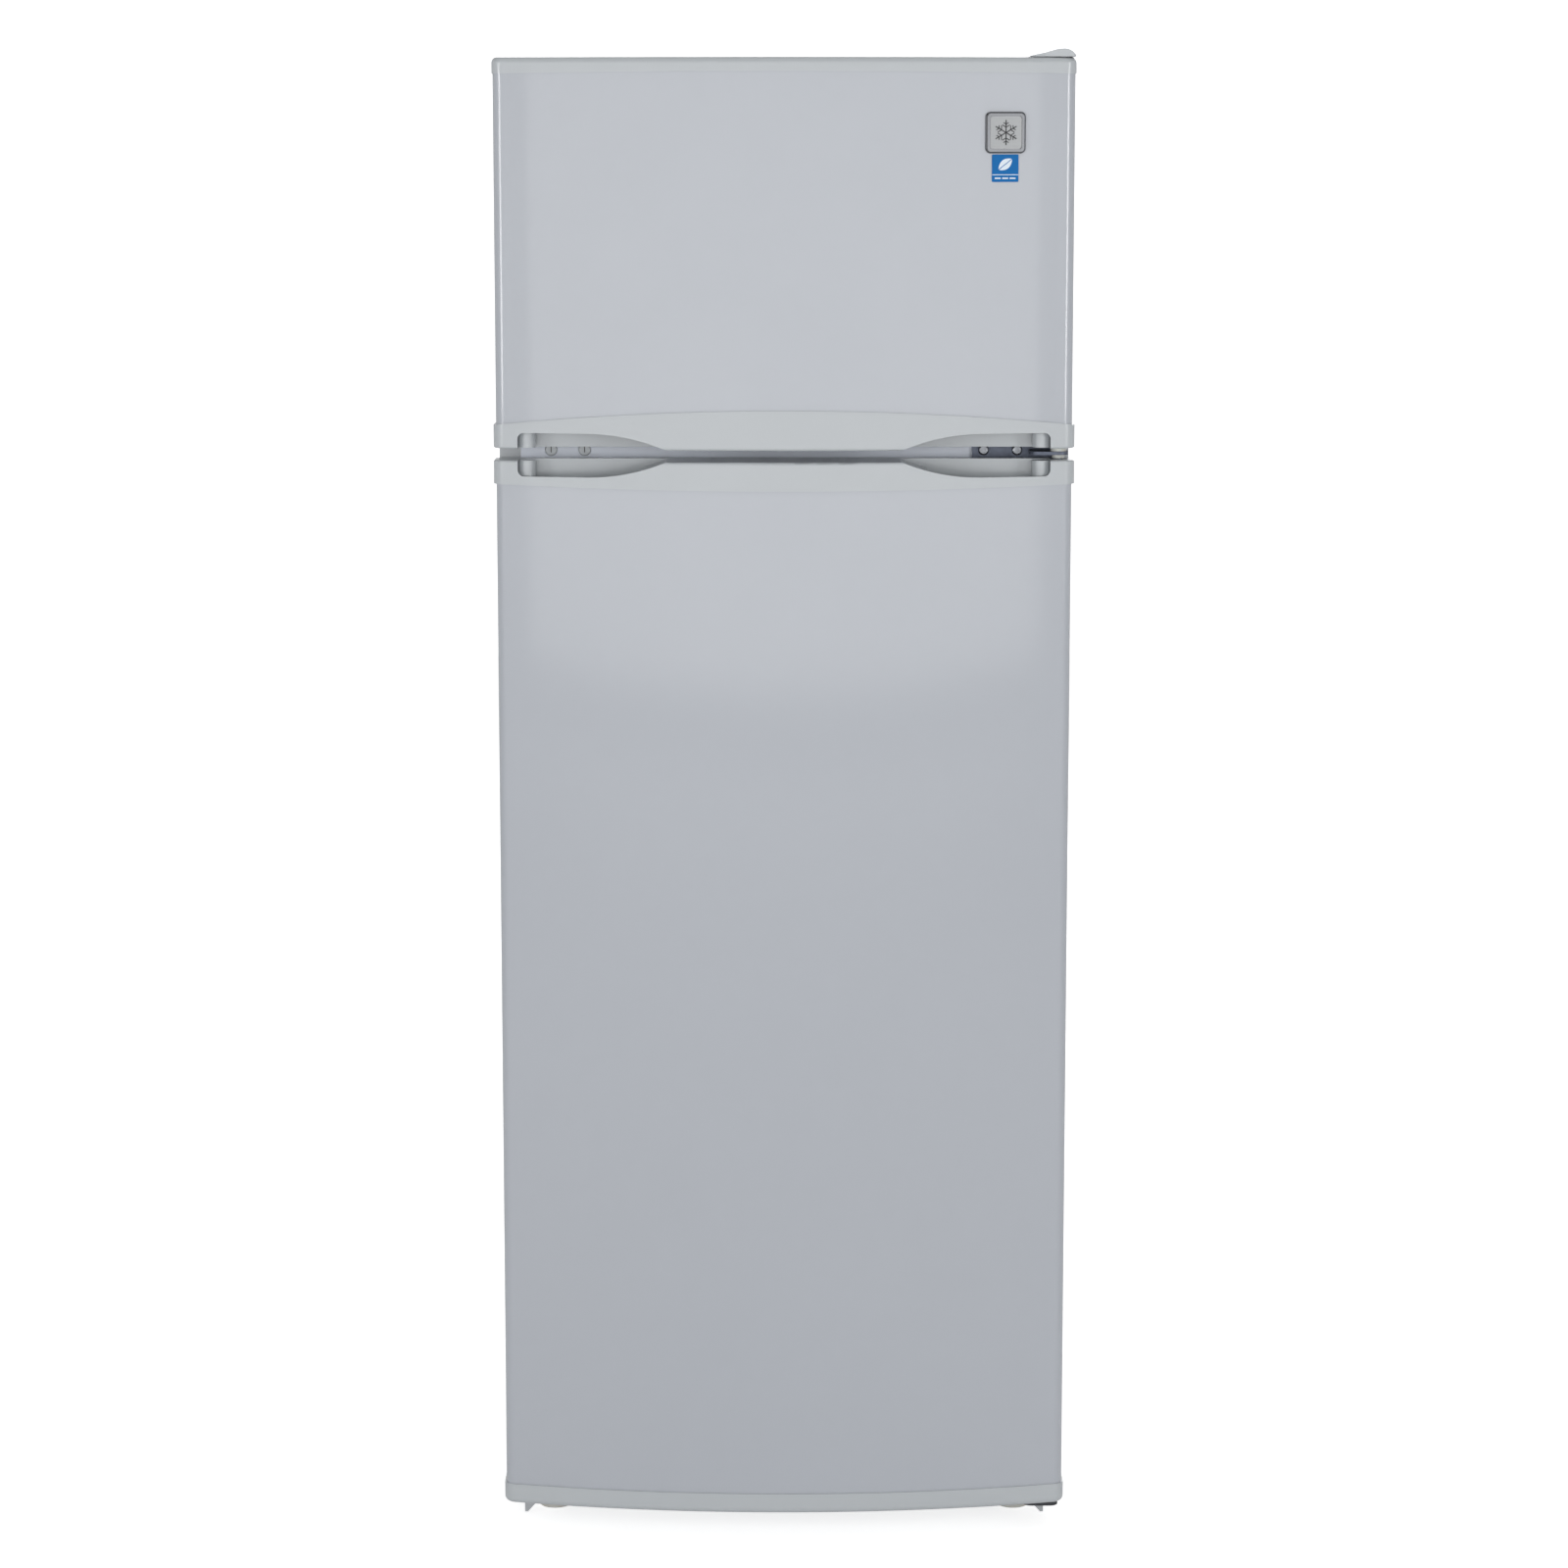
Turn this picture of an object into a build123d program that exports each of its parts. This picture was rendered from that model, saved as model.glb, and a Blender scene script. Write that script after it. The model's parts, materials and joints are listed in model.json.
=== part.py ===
from build123d import *
import os
from math import asin, cos, sin, sqrt

os.makedirs("parts", exist_ok=True)

# A top freezer refrigerator. X is the width, the doors face -Y and Z is up.
# The origin is on the floor, under the middle of the whole object. All sizes are in mm.

# ---------------------------------------------------------------- driving dimensions
cabinet_width = 545
cabinet_front = -206
cabinet_back = 248
cabinet_top = 1426
cabinet_bottom = 30
steel = 1.0
liner_wall = 2.0
front_flange = 20
wrap_corner = 8

cavity_width = 460
cavity_back = 190
freezer_floor = 1088
freezer_ceiling = 1372
fridge_floor = 92
fridge_ceiling = 1034
step_front = 52
step_top = 280
bay_front = 85
bay_top = 250
rail_bottom = 1036.2
rail_top = 1085.8

door_width = 546
trim_width = 551
door_front = -290
door_bow = 34
door_back = -218
door_corner = 10
skin_return = 12
trim_stand_out = 1.5
freezer_door_bottom = 1065
freezer_door_top = 1430
fridge_door_bottom = 28
fridge_door_top = 1053.8
cap_height = 15
bottom_cap_height = 20

hinge_x = 261
hinge_y = -236
pin_radius = 4
pin_clearance = 0.05

gasket_back = cabinet_front - 0.7
door_liner_back = door_back + 1.5
dyke_back = -178
dyke_width = 25
dyke_half_width = 215
gasket_half = 259
gasket_width = 15
bin_back = -130

# ---------------------------------------------------------------- derived places
half_cabinet = cabinet_width / 2
half_cavity = cavity_width / 2
half_door = door_width / 2
half_trim = trim_width / 2
cabinet_depth = cabinet_back - cabinet_front
liner_front = cabinet_front
foam_front = cabinet_front + 3
panel_front = cabinet_back - 1.5
skin_front = door_front + trim_stand_out
bow_radius = (half_door**2 + door_bow**2) / (2 * door_bow)
hinge_bore = pin_radius + pin_clearance


def block(x, y, z, mode=Mode.ADD):
    """A box in the current part, between the two ends given along each axis."""
    middle = ((x[0] + x[1]) / 2, (y[0] + y[1]) / 2, (z[0] + z[1]) / 2)
    with Locations(middle):
        return Box(x[1] - x[0], y[1] - y[0], z[1] - z[0], mode=mode)


def rod(start, direction, radius, length, mode=Mode.ADD):
    """A round bar in the current part, from a point along a direction."""
    with Locations(Plane(origin=start, z_dir=direction).location):
        return Cylinder(radius, length, align=(Align.CENTER, Align.CENTER, Align.MIN), mode=mode)


def rounded_box(x, y, z, radius):
    """A box with all its edges rounded, as a part of its own."""
    with BuildPart() as body:
        block(x, y, z)
        fillet(body.edges(), radius)
    return body.part


def wire(points, bend, radius):
    """A round bar bent along straight runs joined by arcs, as a part of its own."""
    with BuildPart() as bar:
        with BuildLine() as path:
            FilletPolyline(*points, radius=bend)
        with BuildSketch(Plane(origin=path.line @ 0, z_dir=path.line % 0)):
            Circle(radius)
        sweep(path=path.line)
    return bar.part


# ================================================================ cabinet
with BuildPart() as cabinet_wrap:
    with BuildSketch(Plane.XZ.offset(-cabinet_back)) as wrap_outline:
        with Locations((0, (cabinet_top + cabinet_bottom) / 2)):
            Rectangle(cabinet_width, cabinet_top - cabinet_bottom)
        fillet(wrap_outline.vertices().group_by(Axis.Y)[-1], wrap_corner)
    extrude(amount=cabinet_depth)
    with BuildSketch(Plane.XZ.offset(-cabinet_back)) as wrap_inside:
        with Locations((0, (cabinet_top + cabinet_bottom) / 2 - steel)):
            Rectangle(cabinet_width - 2 * steel, cabinet_top - cabinet_bottom)
        fillet(wrap_inside.vertices().group_by(Axis.Y)[-1], wrap_corner - steel)
    extrude(amount=cabinet_depth - steel, mode=Mode.SUBTRACT)
    opening = half_cabinet - front_flange
    block((-opening, opening), (cabinet_front - 1, cabinet_front + 5), (0, cabinet_top - front_flange),
          mode=Mode.SUBTRACT)
cabinet_wrap.part.label = "cabinet_wrap"
export_step(cabinet_wrap.part, "parts/cabinet_wrap.step")

# The back panel is one bent sheet: down the back, in over the compressor bay and down its front.
with BuildPart() as cabinet_back_panel:
    inside = half_cabinet - steel - 0.5
    panel_height = cabinet_top - steel - 0.3 - bay_top
    with BuildSketch(Plane.XZ.offset(-panel_front - steel)) as panel_outline:
        with Locations((0, bay_top + panel_height / 2)):
            Rectangle(2 * inside, panel_height)
        fillet(panel_outline.vertices().group_by(Axis.Y)[-1], wrap_corner - steel)
    extrude(amount=steel)
    block((-inside, inside), (bay_front, panel_front + steel), (bay_top - steel, bay_top))
    block((-inside, inside), (bay_front, bay_front + steel), (cabinet_bottom + 2, bay_top))
    with Locations(*[(0, panel_front + steel, z) for z in range(400, 1400, 180)]):
        Box(2 * inside - 60, 1.2, 6)
cabinet_back_panel.part.label = "cabinet_back_panel"
export_step(cabinet_back_panel.part, "parts/cabinet_back_panel.step")

# The foam fills everything between the wrap, the liners, the back panel and the base.
with BuildPart() as cabinet_foam:
    wall_x = (half_cavity + liner_wall, half_cabinet - steel)
    full_depth = (foam_front, panel_front)
    for side in (-1, 1):
        wall = sorted((side * wall_x[0], side * wall_x[1]))
        block(wall, (foam_front, bay_front), (cabinet_bottom + 2, bay_top))
        block(wall, full_depth, (bay_top, cabinet_top - steel - 8))
    between = (-wall_x[0], wall_x[0])
    block(between, full_depth, (freezer_ceiling + liner_wall, cabinet_top - steel))
    block(between, full_depth, (fridge_ceiling + liner_wall, freezer_floor - liner_wall))
    block(between, (cavity_back + liner_wall, panel_front), (bay_top, cabinet_top - steel))
    block(between, (step_front + liner_wall, panel_front), (bay_top, step_top - liner_wall))
    block(between, (step_front + liner_wall, bay_front), (cabinet_bottom + 2, bay_top))
    block(between, (foam_front, bay_front), (cabinet_bottom + 2, fridge_floor - liner_wall))
    block((-half_cabinet, half_cabinet), (foam_front - 1, foam_front + 18), (rail_bottom, rail_top),
          mode=Mode.SUBTRACT)
cabinet_foam.part.label = "cabinet_foam"
export_step(cabinet_foam.part, "parts/cabinet_foam.step")

# ---------------------------------------------------------------- liners
flange_x = (-half_cabinet + front_flange + 0.2, half_cabinet - front_flange - 0.2)
rib_height = 7
rib_width = 6
rib_back = 150
freezer_shelf_height = 1222
shelf_tops = (304, 520, 760)
shelf_thick = 12
runner_top = 268


def side_ribs(height, front, back, width):
    """A pair of level ribs on the side walls of a liner, whose tops are at the height given."""
    for side in (-1, 1):
        x = sorted((side * (half_cavity + 0.5), side * (half_cavity - width)))
        block(x, (front, back), (height - rib_height, height))


with BuildPart() as freezer_space:
    block((-half_cavity, half_cavity), (liner_front - 1, cavity_back), (freezer_floor, freezer_ceiling))
    fillet(freezer_space.edges().filter_by(Axis.Y), 16)
    fillet(freezer_space.faces().sort_by(Axis.Y)[-1].edges(), 8)

with BuildPart() as freezer_liner:
    block((-wall_x[0], wall_x[0]), (foam_front, cavity_back + liner_wall),
          (freezer_floor - liner_wall, freezer_ceiling + liner_wall))
    block(flange_x, (liner_front, foam_front), (rail_top + 0.2, cabinet_top - front_flange - 0.2))
    add(freezer_space.part, mode=Mode.SUBTRACT)
    side_ribs(freezer_shelf_height, -120, 96, rib_width)
freezer_liner.part.label = "freezer_liner"
export_step(freezer_liner.part, "parts/freezer_liner.step")

with BuildPart() as fridge_space:
    block((-half_cavity, half_cavity), (liner_front - 1, cavity_back), (step_top, fridge_ceiling))
    block((-half_cavity, half_cavity), (liner_front - 1, step_front), (fridge_floor, fridge_ceiling))
    fillet(fridge_space.edges().filter_by(Axis.Y), 16)
    fillet(fridge_space.edges().filter_by(Axis.X).group_by(Axis.Y)[-1], 8)

with BuildPart() as fridge_liner:
    block((-wall_x[0], wall_x[0]), (foam_front, cavity_back + liner_wall),
          (step_top - liner_wall, fridge_ceiling + liner_wall))
    block((-wall_x[0], wall_x[0]), (foam_front, step_front + liner_wall),
          (fridge_floor - liner_wall, step_top))
    block(flange_x, (liner_front, foam_front), (cabinet_bottom + 30, rail_bottom - 0.2))
    add(fridge_space.part, mode=Mode.SUBTRACT)
    for top in shelf_tops:
        side_ribs(top - shelf_thick, -140, rib_back, rib_width)
    side_ribs(runner_top, -130, step_front - 10, 22)
fridge_liner.part.label = "fridge_liner"
export_step(fridge_liner.part, "parts/fridge_liner.step")

# ---------------------------------------------------------------- centre rail
with BuildPart() as centre_rail:
    rail_back = cabinet_front + 18
    block(flange_x, (cabinet_front, rail_back), (rail_bottom, rail_top))
    block((flange_x[0] - 1, flange_x[1] + 1), (cabinet_front + 1.5, rail_back + 1),
          (rail_bottom + 1.5, rail_top - 1.5), mode=Mode.SUBTRACT)
    fillet(centre_rail.edges().filter_by(Axis.X).group_by(Axis.Y)[0], 1)
centre_rail.part.label = "centre_rail"
export_step(centre_rail.part, "parts/centre_rail.step")

# ---------------------------------------------------------------- base frame
gland_x = -190
gland_z = 50
gland_outer = 7
rear_lip_top = 66
with BuildPart() as base_frame:
    inside = half_cabinet - steel - 0.5
    block((-inside, inside), (cabinet_front + steel, cabinet_back), (cabinet_bottom, cabinet_bottom + 2))
    block(flange_x, (cabinet_front, cabinet_front + 2), (cabinet_bottom, cabinet_bottom + 29.5))
    block((-inside, inside), (cabinet_back - 2, cabinet_back), (cabinet_bottom, rear_lip_top))
    fillet(base_frame.edges().filter_by(Axis.X).group_by(Axis.Z)[0].sort_by(Axis.Y)[0], 1)
    rod((gland_x, cabinet_back + 1, gland_z), (0, -1, 0), gland_outer, 4, mode=Mode.SUBTRACT)
base_frame.part.label = "base_frame"
export_step(base_frame.part, "parts/base_frame.step")

# ---------------------------------------------------------------- front feet and their brackets
foot_x = 229
foot_y = -172
foot_radius = 16
stem_radius = 4
stem_clearance = 0.06
bracket_plate = 3
bracket_front = -204
bracket_outer = 258
nut_bottom = 17
with BuildPart() as foot_brackets:
    for side in (-1, 1):
        x = side * foot_x
        block(sorted((x - side * 24, side * bracket_outer)), (bracket_front, foot_y + 22),
              (cabinet_bottom - bracket_plate, cabinet_bottom))
        rod((x, foot_y, nut_bottom), (0, 0, 1), 9, cabinet_bottom - nut_bottom - bracket_plate)
        with BuildSketch(Plane.XZ.offset(-bracket_front)):
            with BuildLine():
                Polyline((side * bracket_outer, cabinet_bottom), (side * (bracket_outer - 28), cabinet_bottom),
                         (side * (bracket_outer - 3), 2), (side * bracket_outer, 2), close=True)
            make_face()
        extrude(amount=-2)
        rod((x, foot_y, 0), (0, 0, 1), stem_radius + stem_clearance, cabinet_bottom - 1,
            mode=Mode.SUBTRACT)
foot_brackets.part.label = "foot_brackets"
export_step(foot_brackets.part, "parts/foot_brackets.step")

for side_name, side in (("left", -1), ("right", 1)):
    with BuildPart() as leveling_foot:
        x = side * foot_x
        rod((x, foot_y, 0), (0, 0, 1), foot_radius, 6)
        fillet(leveling_foot.edges().filter_by(GeomType.CIRCLE), 1.5)
        with BuildSketch(Plane.XY.offset(6)):
            with Locations((x, foot_y)):
                RegularPolygon(8, 6)
        extrude(amount=6)
        rod((x, foot_y, 6), (0, 0, 1), stem_radius, cabinet_bottom - 8)
    leveling_foot.part.label = f"leveling_foot_{side_name}"
    export_step(leveling_foot.part, f"parts/leveling_foot_{side_name}.step")

# ---------------------------------------------------------------- rear rollers on fixed axles
roller_x = 215
roller_y = 215
roller_radius = 13
roller_width = 16
axle_radius = 2.5
with BuildPart() as roller_brackets:
    for side in (-1, 1):
        x = side * roller_x
        for cheek in (-1, 1):
            cheek_x = x + cheek * (roller_width / 2 + 2)
            block((cheek_x - 1, cheek_x + 1), (roller_y - 10, roller_y + 10),
                  (roller_radius - 6, cabinet_bottom))
        rod((x - roller_width / 2 - 5, roller_y, roller_radius), (1, 0, 0), axle_radius, roller_width + 10)
        block((x - 12, x + 12), (roller_y - 20, roller_y + 20), (cabinet_bottom - 1.5, cabinet_bottom))
roller_brackets.part.label = "roller_brackets"
export_step(roller_brackets.part, "parts/roller_brackets.step")

for side_name, side in (("left", -1), ("right", 1)):
    with BuildPart() as roller:
        start = (side * roller_x - roller_width / 2, roller_y, roller_radius)
        rod(start, (1, 0, 0), roller_radius, roller_width)
        chamfer(roller.edges().filter_by(GeomType.CIRCLE), 1)
        rod(start, (1, 0, 0), axle_radius + 0.06, roller_width, mode=Mode.SUBTRACT)
    roller.part.label = f"roller_{side_name}"
    export_step(roller.part, f"parts/roller_{side_name}.step")

# ================================================================ hinges
washer_radius = 7.5
arm_thick = 3
middle_arm_bottom = 1057.9
top_plate_bottom = freezer_door_top + 1.2
top_plate_thick = 2.3
bottom_arm_bottom = 21.5
hinge_screw_x = (191, 223)
middle_screw_z = 1060
top_screw_x = 257
top_screw_y = (-184, -156)
bottom_screw_x = (214, 256)
bottom_screw_z = 38
top_plate_left = 247
top_plate_width = 21
top_plate_bend = -198
top_plate_back = -142
hole_radius = 2.6


def hinge_nose(height, left, right, back):
    """Plan of a hinge arm that runs forward to a rounded nose round the pin."""
    with BuildSketch(Plane.XY.offset(height)) as nose:
        with Locations(((left + right) / 2, (hinge_y - 9 + back) / 2)):
            Rectangle(right - left, back - hinge_y + 9)
        fillet(nose.vertices().group_by(Axis.Y)[0], 8)
    return nose.sketch


with BuildPart() as top_hinge:
    with BuildSketch(Plane.YZ.offset(top_plate_left)):
        with BuildLine():
            Polyline((hinge_y - 8, top_plate_bottom), (top_plate_bend - 6, top_plate_bottom),
                     (top_plate_bend, cabinet_top), (top_plate_back, cabinet_top),
                     (top_plate_back, cabinet_top + top_plate_thick),
                     (top_plate_bend + 1, cabinet_top + top_plate_thick),
                     (top_plate_bend - 5, top_plate_bottom + top_plate_thick),
                     (hinge_y - 8, top_plate_bottom + top_plate_thick), close=True)
        make_face()
    extrude(amount=top_plate_width)
    fillet(top_hinge.edges().filter_by(Axis.Z).group_by(Axis.Y)[0], 7)
    rod((hinge_x, hinge_y, freezer_door_top - 12), (0, 0, 1), pin_radius,
        12 + top_plate_bottom - freezer_door_top)
    for y in top_screw_y:
        rod((top_screw_x, y, cabinet_top - 1), (0, 0, 1), hole_radius, 5, mode=Mode.SUBTRACT)
top_hinge.part.label = "top_hinge"
export_step(top_hinge.part, "parts/top_hinge.step")


cover_crest = 1438
cover_left = 230
cover_right = 273.3
cover_back = -136
cover_step = -204
cover_front = -256
cover_wall = 1.4


def cover_profile(y, shrink, base):
    """Front view of the hinge cover: a low mound that is highest over the pin."""
    crest = cover_crest - shrink
    with BuildSketch(Plane.XZ.offset(-y)) as mound:
        with BuildLine():
            left = cover_left + shrink
            right = cover_right - shrink
            brow = cover_crest - 6.8 - shrink / 2
            Line((left, base), (left, brow))
            Spline((left, brow), (cover_left + 16, crest - 3), (hinge_x - 1, crest),
                   tangents=((3, 1), (1, 0)))
            ThreePointArc((hinge_x - 1, crest), (cover_right - 4.1, crest - 2), (right, brow))
            Polyline((right, brow), (right, base), (left, base))
        make_face()
    return mound.sketch


with BuildPart() as top_hinge_cover:
    door_gap = freezer_door_top + 0.7
    extrude(cover_profile(cover_back, 0, cabinet_top), amount=cover_back - cover_step)
    extrude(cover_profile(cover_step, 0, door_gap), amount=cover_step - cover_front)
    fillet(top_hinge_cover.edges().filter_by(Axis.Z).group_by(Axis.Y)[0], 4)
    extrude(cover_profile(cover_back - cover_wall, cover_wall, cabinet_top - 1),
            amount=cover_back - cover_step - 2 * cover_wall, mode=Mode.SUBTRACT)
    extrude(cover_profile(cover_step + 3 * cover_wall, cover_wall, door_gap - 1),
            amount=cover_step - cover_front + cover_wall, mode=Mode.SUBTRACT)
top_hinge_cover.part.label = "top_hinge_cover"
export_step(top_hinge_cover.part, "parts/top_hinge_cover.step")

with BuildPart() as middle_hinge:
    block((180, 268), (cabinet_front - arm_thick, cabinet_front), (1048, 1072))
    extrude(hinge_nose(middle_arm_bottom, 234, 270, cabinet_front), amount=arm_thick)
    rod((hinge_x, hinge_y, 1041), (0, 0, 1), pin_radius, 38)
    for x in hinge_screw_x:
        rod((x, cabinet_front + 1, middle_screw_z), (0, -1, 0), hole_radius, 6, mode=Mode.SUBTRACT)
middle_hinge.part.label = "middle_hinge"
export_step(middle_hinge.part, "parts/middle_hinge.step")

with BuildPart() as bottom_hinge:
    block((205, 268), (cabinet_front - arm_thick, cabinet_front), (bottom_arm_bottom, 45))
    extrude(hinge_nose(bottom_arm_bottom, 236, 270, cabinet_front), amount=arm_thick)
    rod((hinge_x, hinge_y, bottom_arm_bottom), (0, 0, 1), pin_radius, 20)
    for x in bottom_screw_x:
        rod((x, cabinet_front + 1, bottom_screw_z), (0, -1, 0), hole_radius, 6, mode=Mode.SUBTRACT)
bottom_hinge.part.label = "bottom_hinge"
export_step(bottom_hinge.part, "parts/bottom_hinge.step")


def screw(head_base, direction):
    """A pan-head screw with a hexagon drive, whose head sits on the point given."""
    shank_length = 2
    seat = Plane(origin=head_base, z_dir=direction)
    with BuildPart() as body:
        with BuildSketch(seat):
            Circle(5)
        extrude(amount=3)
        fillet(body.faces().sort_by(Axis(seat.origin, seat.z_dir))[-1].edges(), 1.8)
        with BuildSketch(seat.offset(3)):
            RegularPolygon(2.2, 6)
        extrude(amount=-1.6, mode=Mode.SUBTRACT)
        with BuildSketch(seat):
            Circle(hole_radius - 0.1)
        extrude(amount=-shank_length)
    return body.part


with BuildPart() as hinge_screws:
    for x in hinge_screw_x:
        add(screw((x, cabinet_front - arm_thick, middle_screw_z), (0, -1, 0)))
    for x in bottom_screw_x:
        add(screw((x, cabinet_front - arm_thick, bottom_screw_z), (0, -1, 0)))
    for y in top_screw_y:
        add(screw((top_screw_x, y, cabinet_top + top_plate_thick), (0, 0, 1)))
hinge_screws.part.label = "hinge_screws"
export_step(hinge_screws.part, "parts/hinge_screws.step")

with BuildPart() as hinge_washers:
    washer_stack = (
        (middle_arm_bottom + arm_thick, 3.4, washer_radius),
        (middle_arm_bottom - 3.4, 3.4, washer_radius - 1.5),
        (bottom_arm_bottom + arm_thick, 2.8, washer_radius),
    )
    for height, thick, radius in washer_stack:
        rod((hinge_x, hinge_y, height), (0, 0, 1), radius, thick)
    chamfer(hinge_washers.edges().filter_by(GeomType.CIRCLE), 0.4)
    rod((hinge_x, hinge_y, 0), (0, 0, 1), pin_radius, cabinet_top, mode=Mode.SUBTRACT)
hinge_washers.part.label = "hinge_washers"
export_step(hinge_washers.part, "parts/hinge_washers.step")

with BuildPart() as hinge_hole_plugs:
    for x in hinge_screw_x:
        rod((-x, cabinet_front, middle_screw_z), (0, -1, 0), 6, 2)
    fillet(hinge_hole_plugs.edges().filter_by(GeomType.CIRCLE).group_by(Axis.Y)[0], 1.5)
hinge_hole_plugs.part.label = "hinge_hole_plugs"
export_step(hinge_hole_plugs.part, "parts/hinge_hole_plugs.step")

# ================================================================ compressor bay
can_x = 95
can_y = 167
can_radius = 66
can_bottom = 52
can_top = 188
grommet_height = 12
tray_top = cabinet_bottom + 2
discharge_z = 130
suction_z = 100
stub_radius = 5
with BuildPart() as compressor:
    rod((can_x, can_y, can_bottom), (0, 0, 1), can_radius - 2, can_top - can_bottom)
    fillet(compressor.edges().filter_by(GeomType.CIRCLE).group_by(Axis.Z)[-1], 34)
    fillet(compressor.edges().filter_by(GeomType.CIRCLE).group_by(Axis.Z)[0], 22)
    seam = (can_bottom + can_top) / 2
    rod((can_x, can_y, seam - 3), (0, 0, 1), can_radius, 6)
    rod((can_x, can_y + 20, discharge_z), (1, 0, 0), stub_radius, can_radius + 2)
    rod((can_x - 30, can_y, suction_z), (0, 1, 0), stub_radius, can_radius - 4)
    plate_z = tray_top + grommet_height
    with BuildSketch(Plane.XY.offset(plate_z)):
        with Locations((can_x, can_y)):
            RectangleRounded(184, 104, 14)
    extrude(amount=3)
    block((can_x - 30, can_x + 30), (can_y - 26, can_y + 26), (plate_z + 3, can_bottom + 8))
compressor.part.label = "compressor"
export_step(compressor.part, "parts/compressor.step")

with BuildPart() as compressor_grommets:
    with Locations((can_x, can_y, tray_top)):
        with GridLocations(164, 80, 2, 2):
            Cylinder(10, grommet_height, align=(Align.CENTER, Align.CENTER, Align.MIN))
    chamfer(compressor_grommets.edges().filter_by(GeomType.CIRCLE), 1.5)
compressor_grommets.part.label = "compressor_grommets"
export_step(compressor_grommets.part, "parts/compressor_grommets.step")

with BuildPart() as terminal_cover:
    cover_x = (can_x - can_radius - 34, can_x - can_radius - 1.5)
    add(rounded_box(cover_x, (can_y - 26, can_y + 26), (90, 152), 4))
terminal_cover.part.label = "terminal_cover"
export_step(terminal_cover.part, "parts/terminal_cover.step")

pan_wall = 2
pan_half = (78, 58)
pan_height = 21


def pan_body(inset, low, high, corner):
    """The pan's rounded body, drawn in by an inset all round."""
    return rounded_box((can_x - pan_half[0] + inset, can_x + pan_half[0] - inset),
                       (can_y - pan_half[1] + inset, can_y + pan_half[1] - inset), (low, high), corner)


with BuildPart() as drain_pan:
    add(pan_body(0, can_top, can_top + 30, 8))
    block((can_x - 90, can_x + 90), (can_y - 70, can_y + 70), (can_top + pan_height, can_top + 40),
          mode=Mode.SUBTRACT)
    add(pan_body(pan_wall, can_top + pan_wall, can_top + 40, 7), mode=Mode.SUBTRACT)
drain_pan.part.label = "drain_pan"
export_step(drain_pan.part, "parts/drain_pan.step")

# ---------------------------------------------------------------- condenser and its tubes
condenser_y = 262
condenser_half = 190
condenser_low = 330
condenser_pitch = 60
condenser_rows = 17
condenser_radius = 2.5
condenser_high = condenser_low + condenser_pitch * (condenser_rows - 1)
tube_radius = 3.2

with BuildPart() as condenser_tube:
    serpentine = [(condenser_half, condenser_y, condenser_low - 60)]
    for row in range(condenser_rows):
        height = condenser_low + row * condenser_pitch
        ends = (condenser_half, -condenser_half) if row % 2 == 0 else (-condenser_half, condenser_half)
        serpentine += [(ends[0], condenser_y, height), (ends[1], condenser_y, height)]
    add(wire(serpentine, 24, condenser_radius))
condenser_tube.part.label = "condenser_tube"
export_step(condenser_tube.part, "parts/condenser_tube.step")

wire_radius = 0.8
with BuildPart() as condenser_wires:
    wire_start = condenser_low - 15
    wire_length = condenser_high - condenser_low + 30
    for face in (-1, 1):
        wire_y = condenser_y + face * (condenser_radius + wire_radius)
        with Locations((0, wire_y, wire_start)):
            with GridLocations(22, 1, 16, 1):
                Cylinder(wire_radius, wire_length, align=(Align.CENTER, Align.CENTER, Align.MIN))
condenser_wires.part.label = "condenser_wires"
export_step(condenser_wires.part, "parts/condenser_wires.step")

with BuildPart() as wall_spacers:
    spacer_back = -door_front
    for side in (-1, 1):
        for height in (condenser_low + 30, condenser_high - 30):
            x = sorted((side * (condenser_half + 6), side * (condenser_half + 30)))
            block(x, (cabinet_back, spacer_back), (height - 14, height + 14))
    fillet(wall_spacers.edges().filter_by(Axis.X).group_by(Axis.Y)[-1], 6)
    for side in (-1, 1):
        for height in (condenser_low + 30, condenser_high - 30):
            x = sorted((side * (condenser_half + 10), side * (condenser_half + 26)))
            block(x, (cabinet_back + 4, spacer_back - 8), (height - 20, height - 3), mode=Mode.SUBTRACT)
wall_spacers.part.label = "wall_spacers"
export_step(wall_spacers.part, "parts/wall_spacers.step")

drier_x = -150
drier_y = 190
drier_bottom = 110
drier_radius = 9
with BuildPart() as filter_drier:
    with BuildSketch(Plane(origin=(drier_x, drier_y, 0), x_dir=(1, 0, 0), z_dir=(0, -1, 0))):
        with BuildLine():
            Polyline((0, drier_bottom), (tube_radius, drier_bottom), (drier_radius, drier_bottom + 12),
                     (drier_radius, drier_bottom + 88), (tube_radius, drier_bottom + 100),
                     (0, drier_bottom + 100), close=True)
        make_face()
    revolve(axis=Axis((drier_x, drier_y, 0), (0, 0, 1)))
filter_drier.part.label = "filter_drier"
export_step(filter_drier.part, "parts/filter_drier.step")

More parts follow.
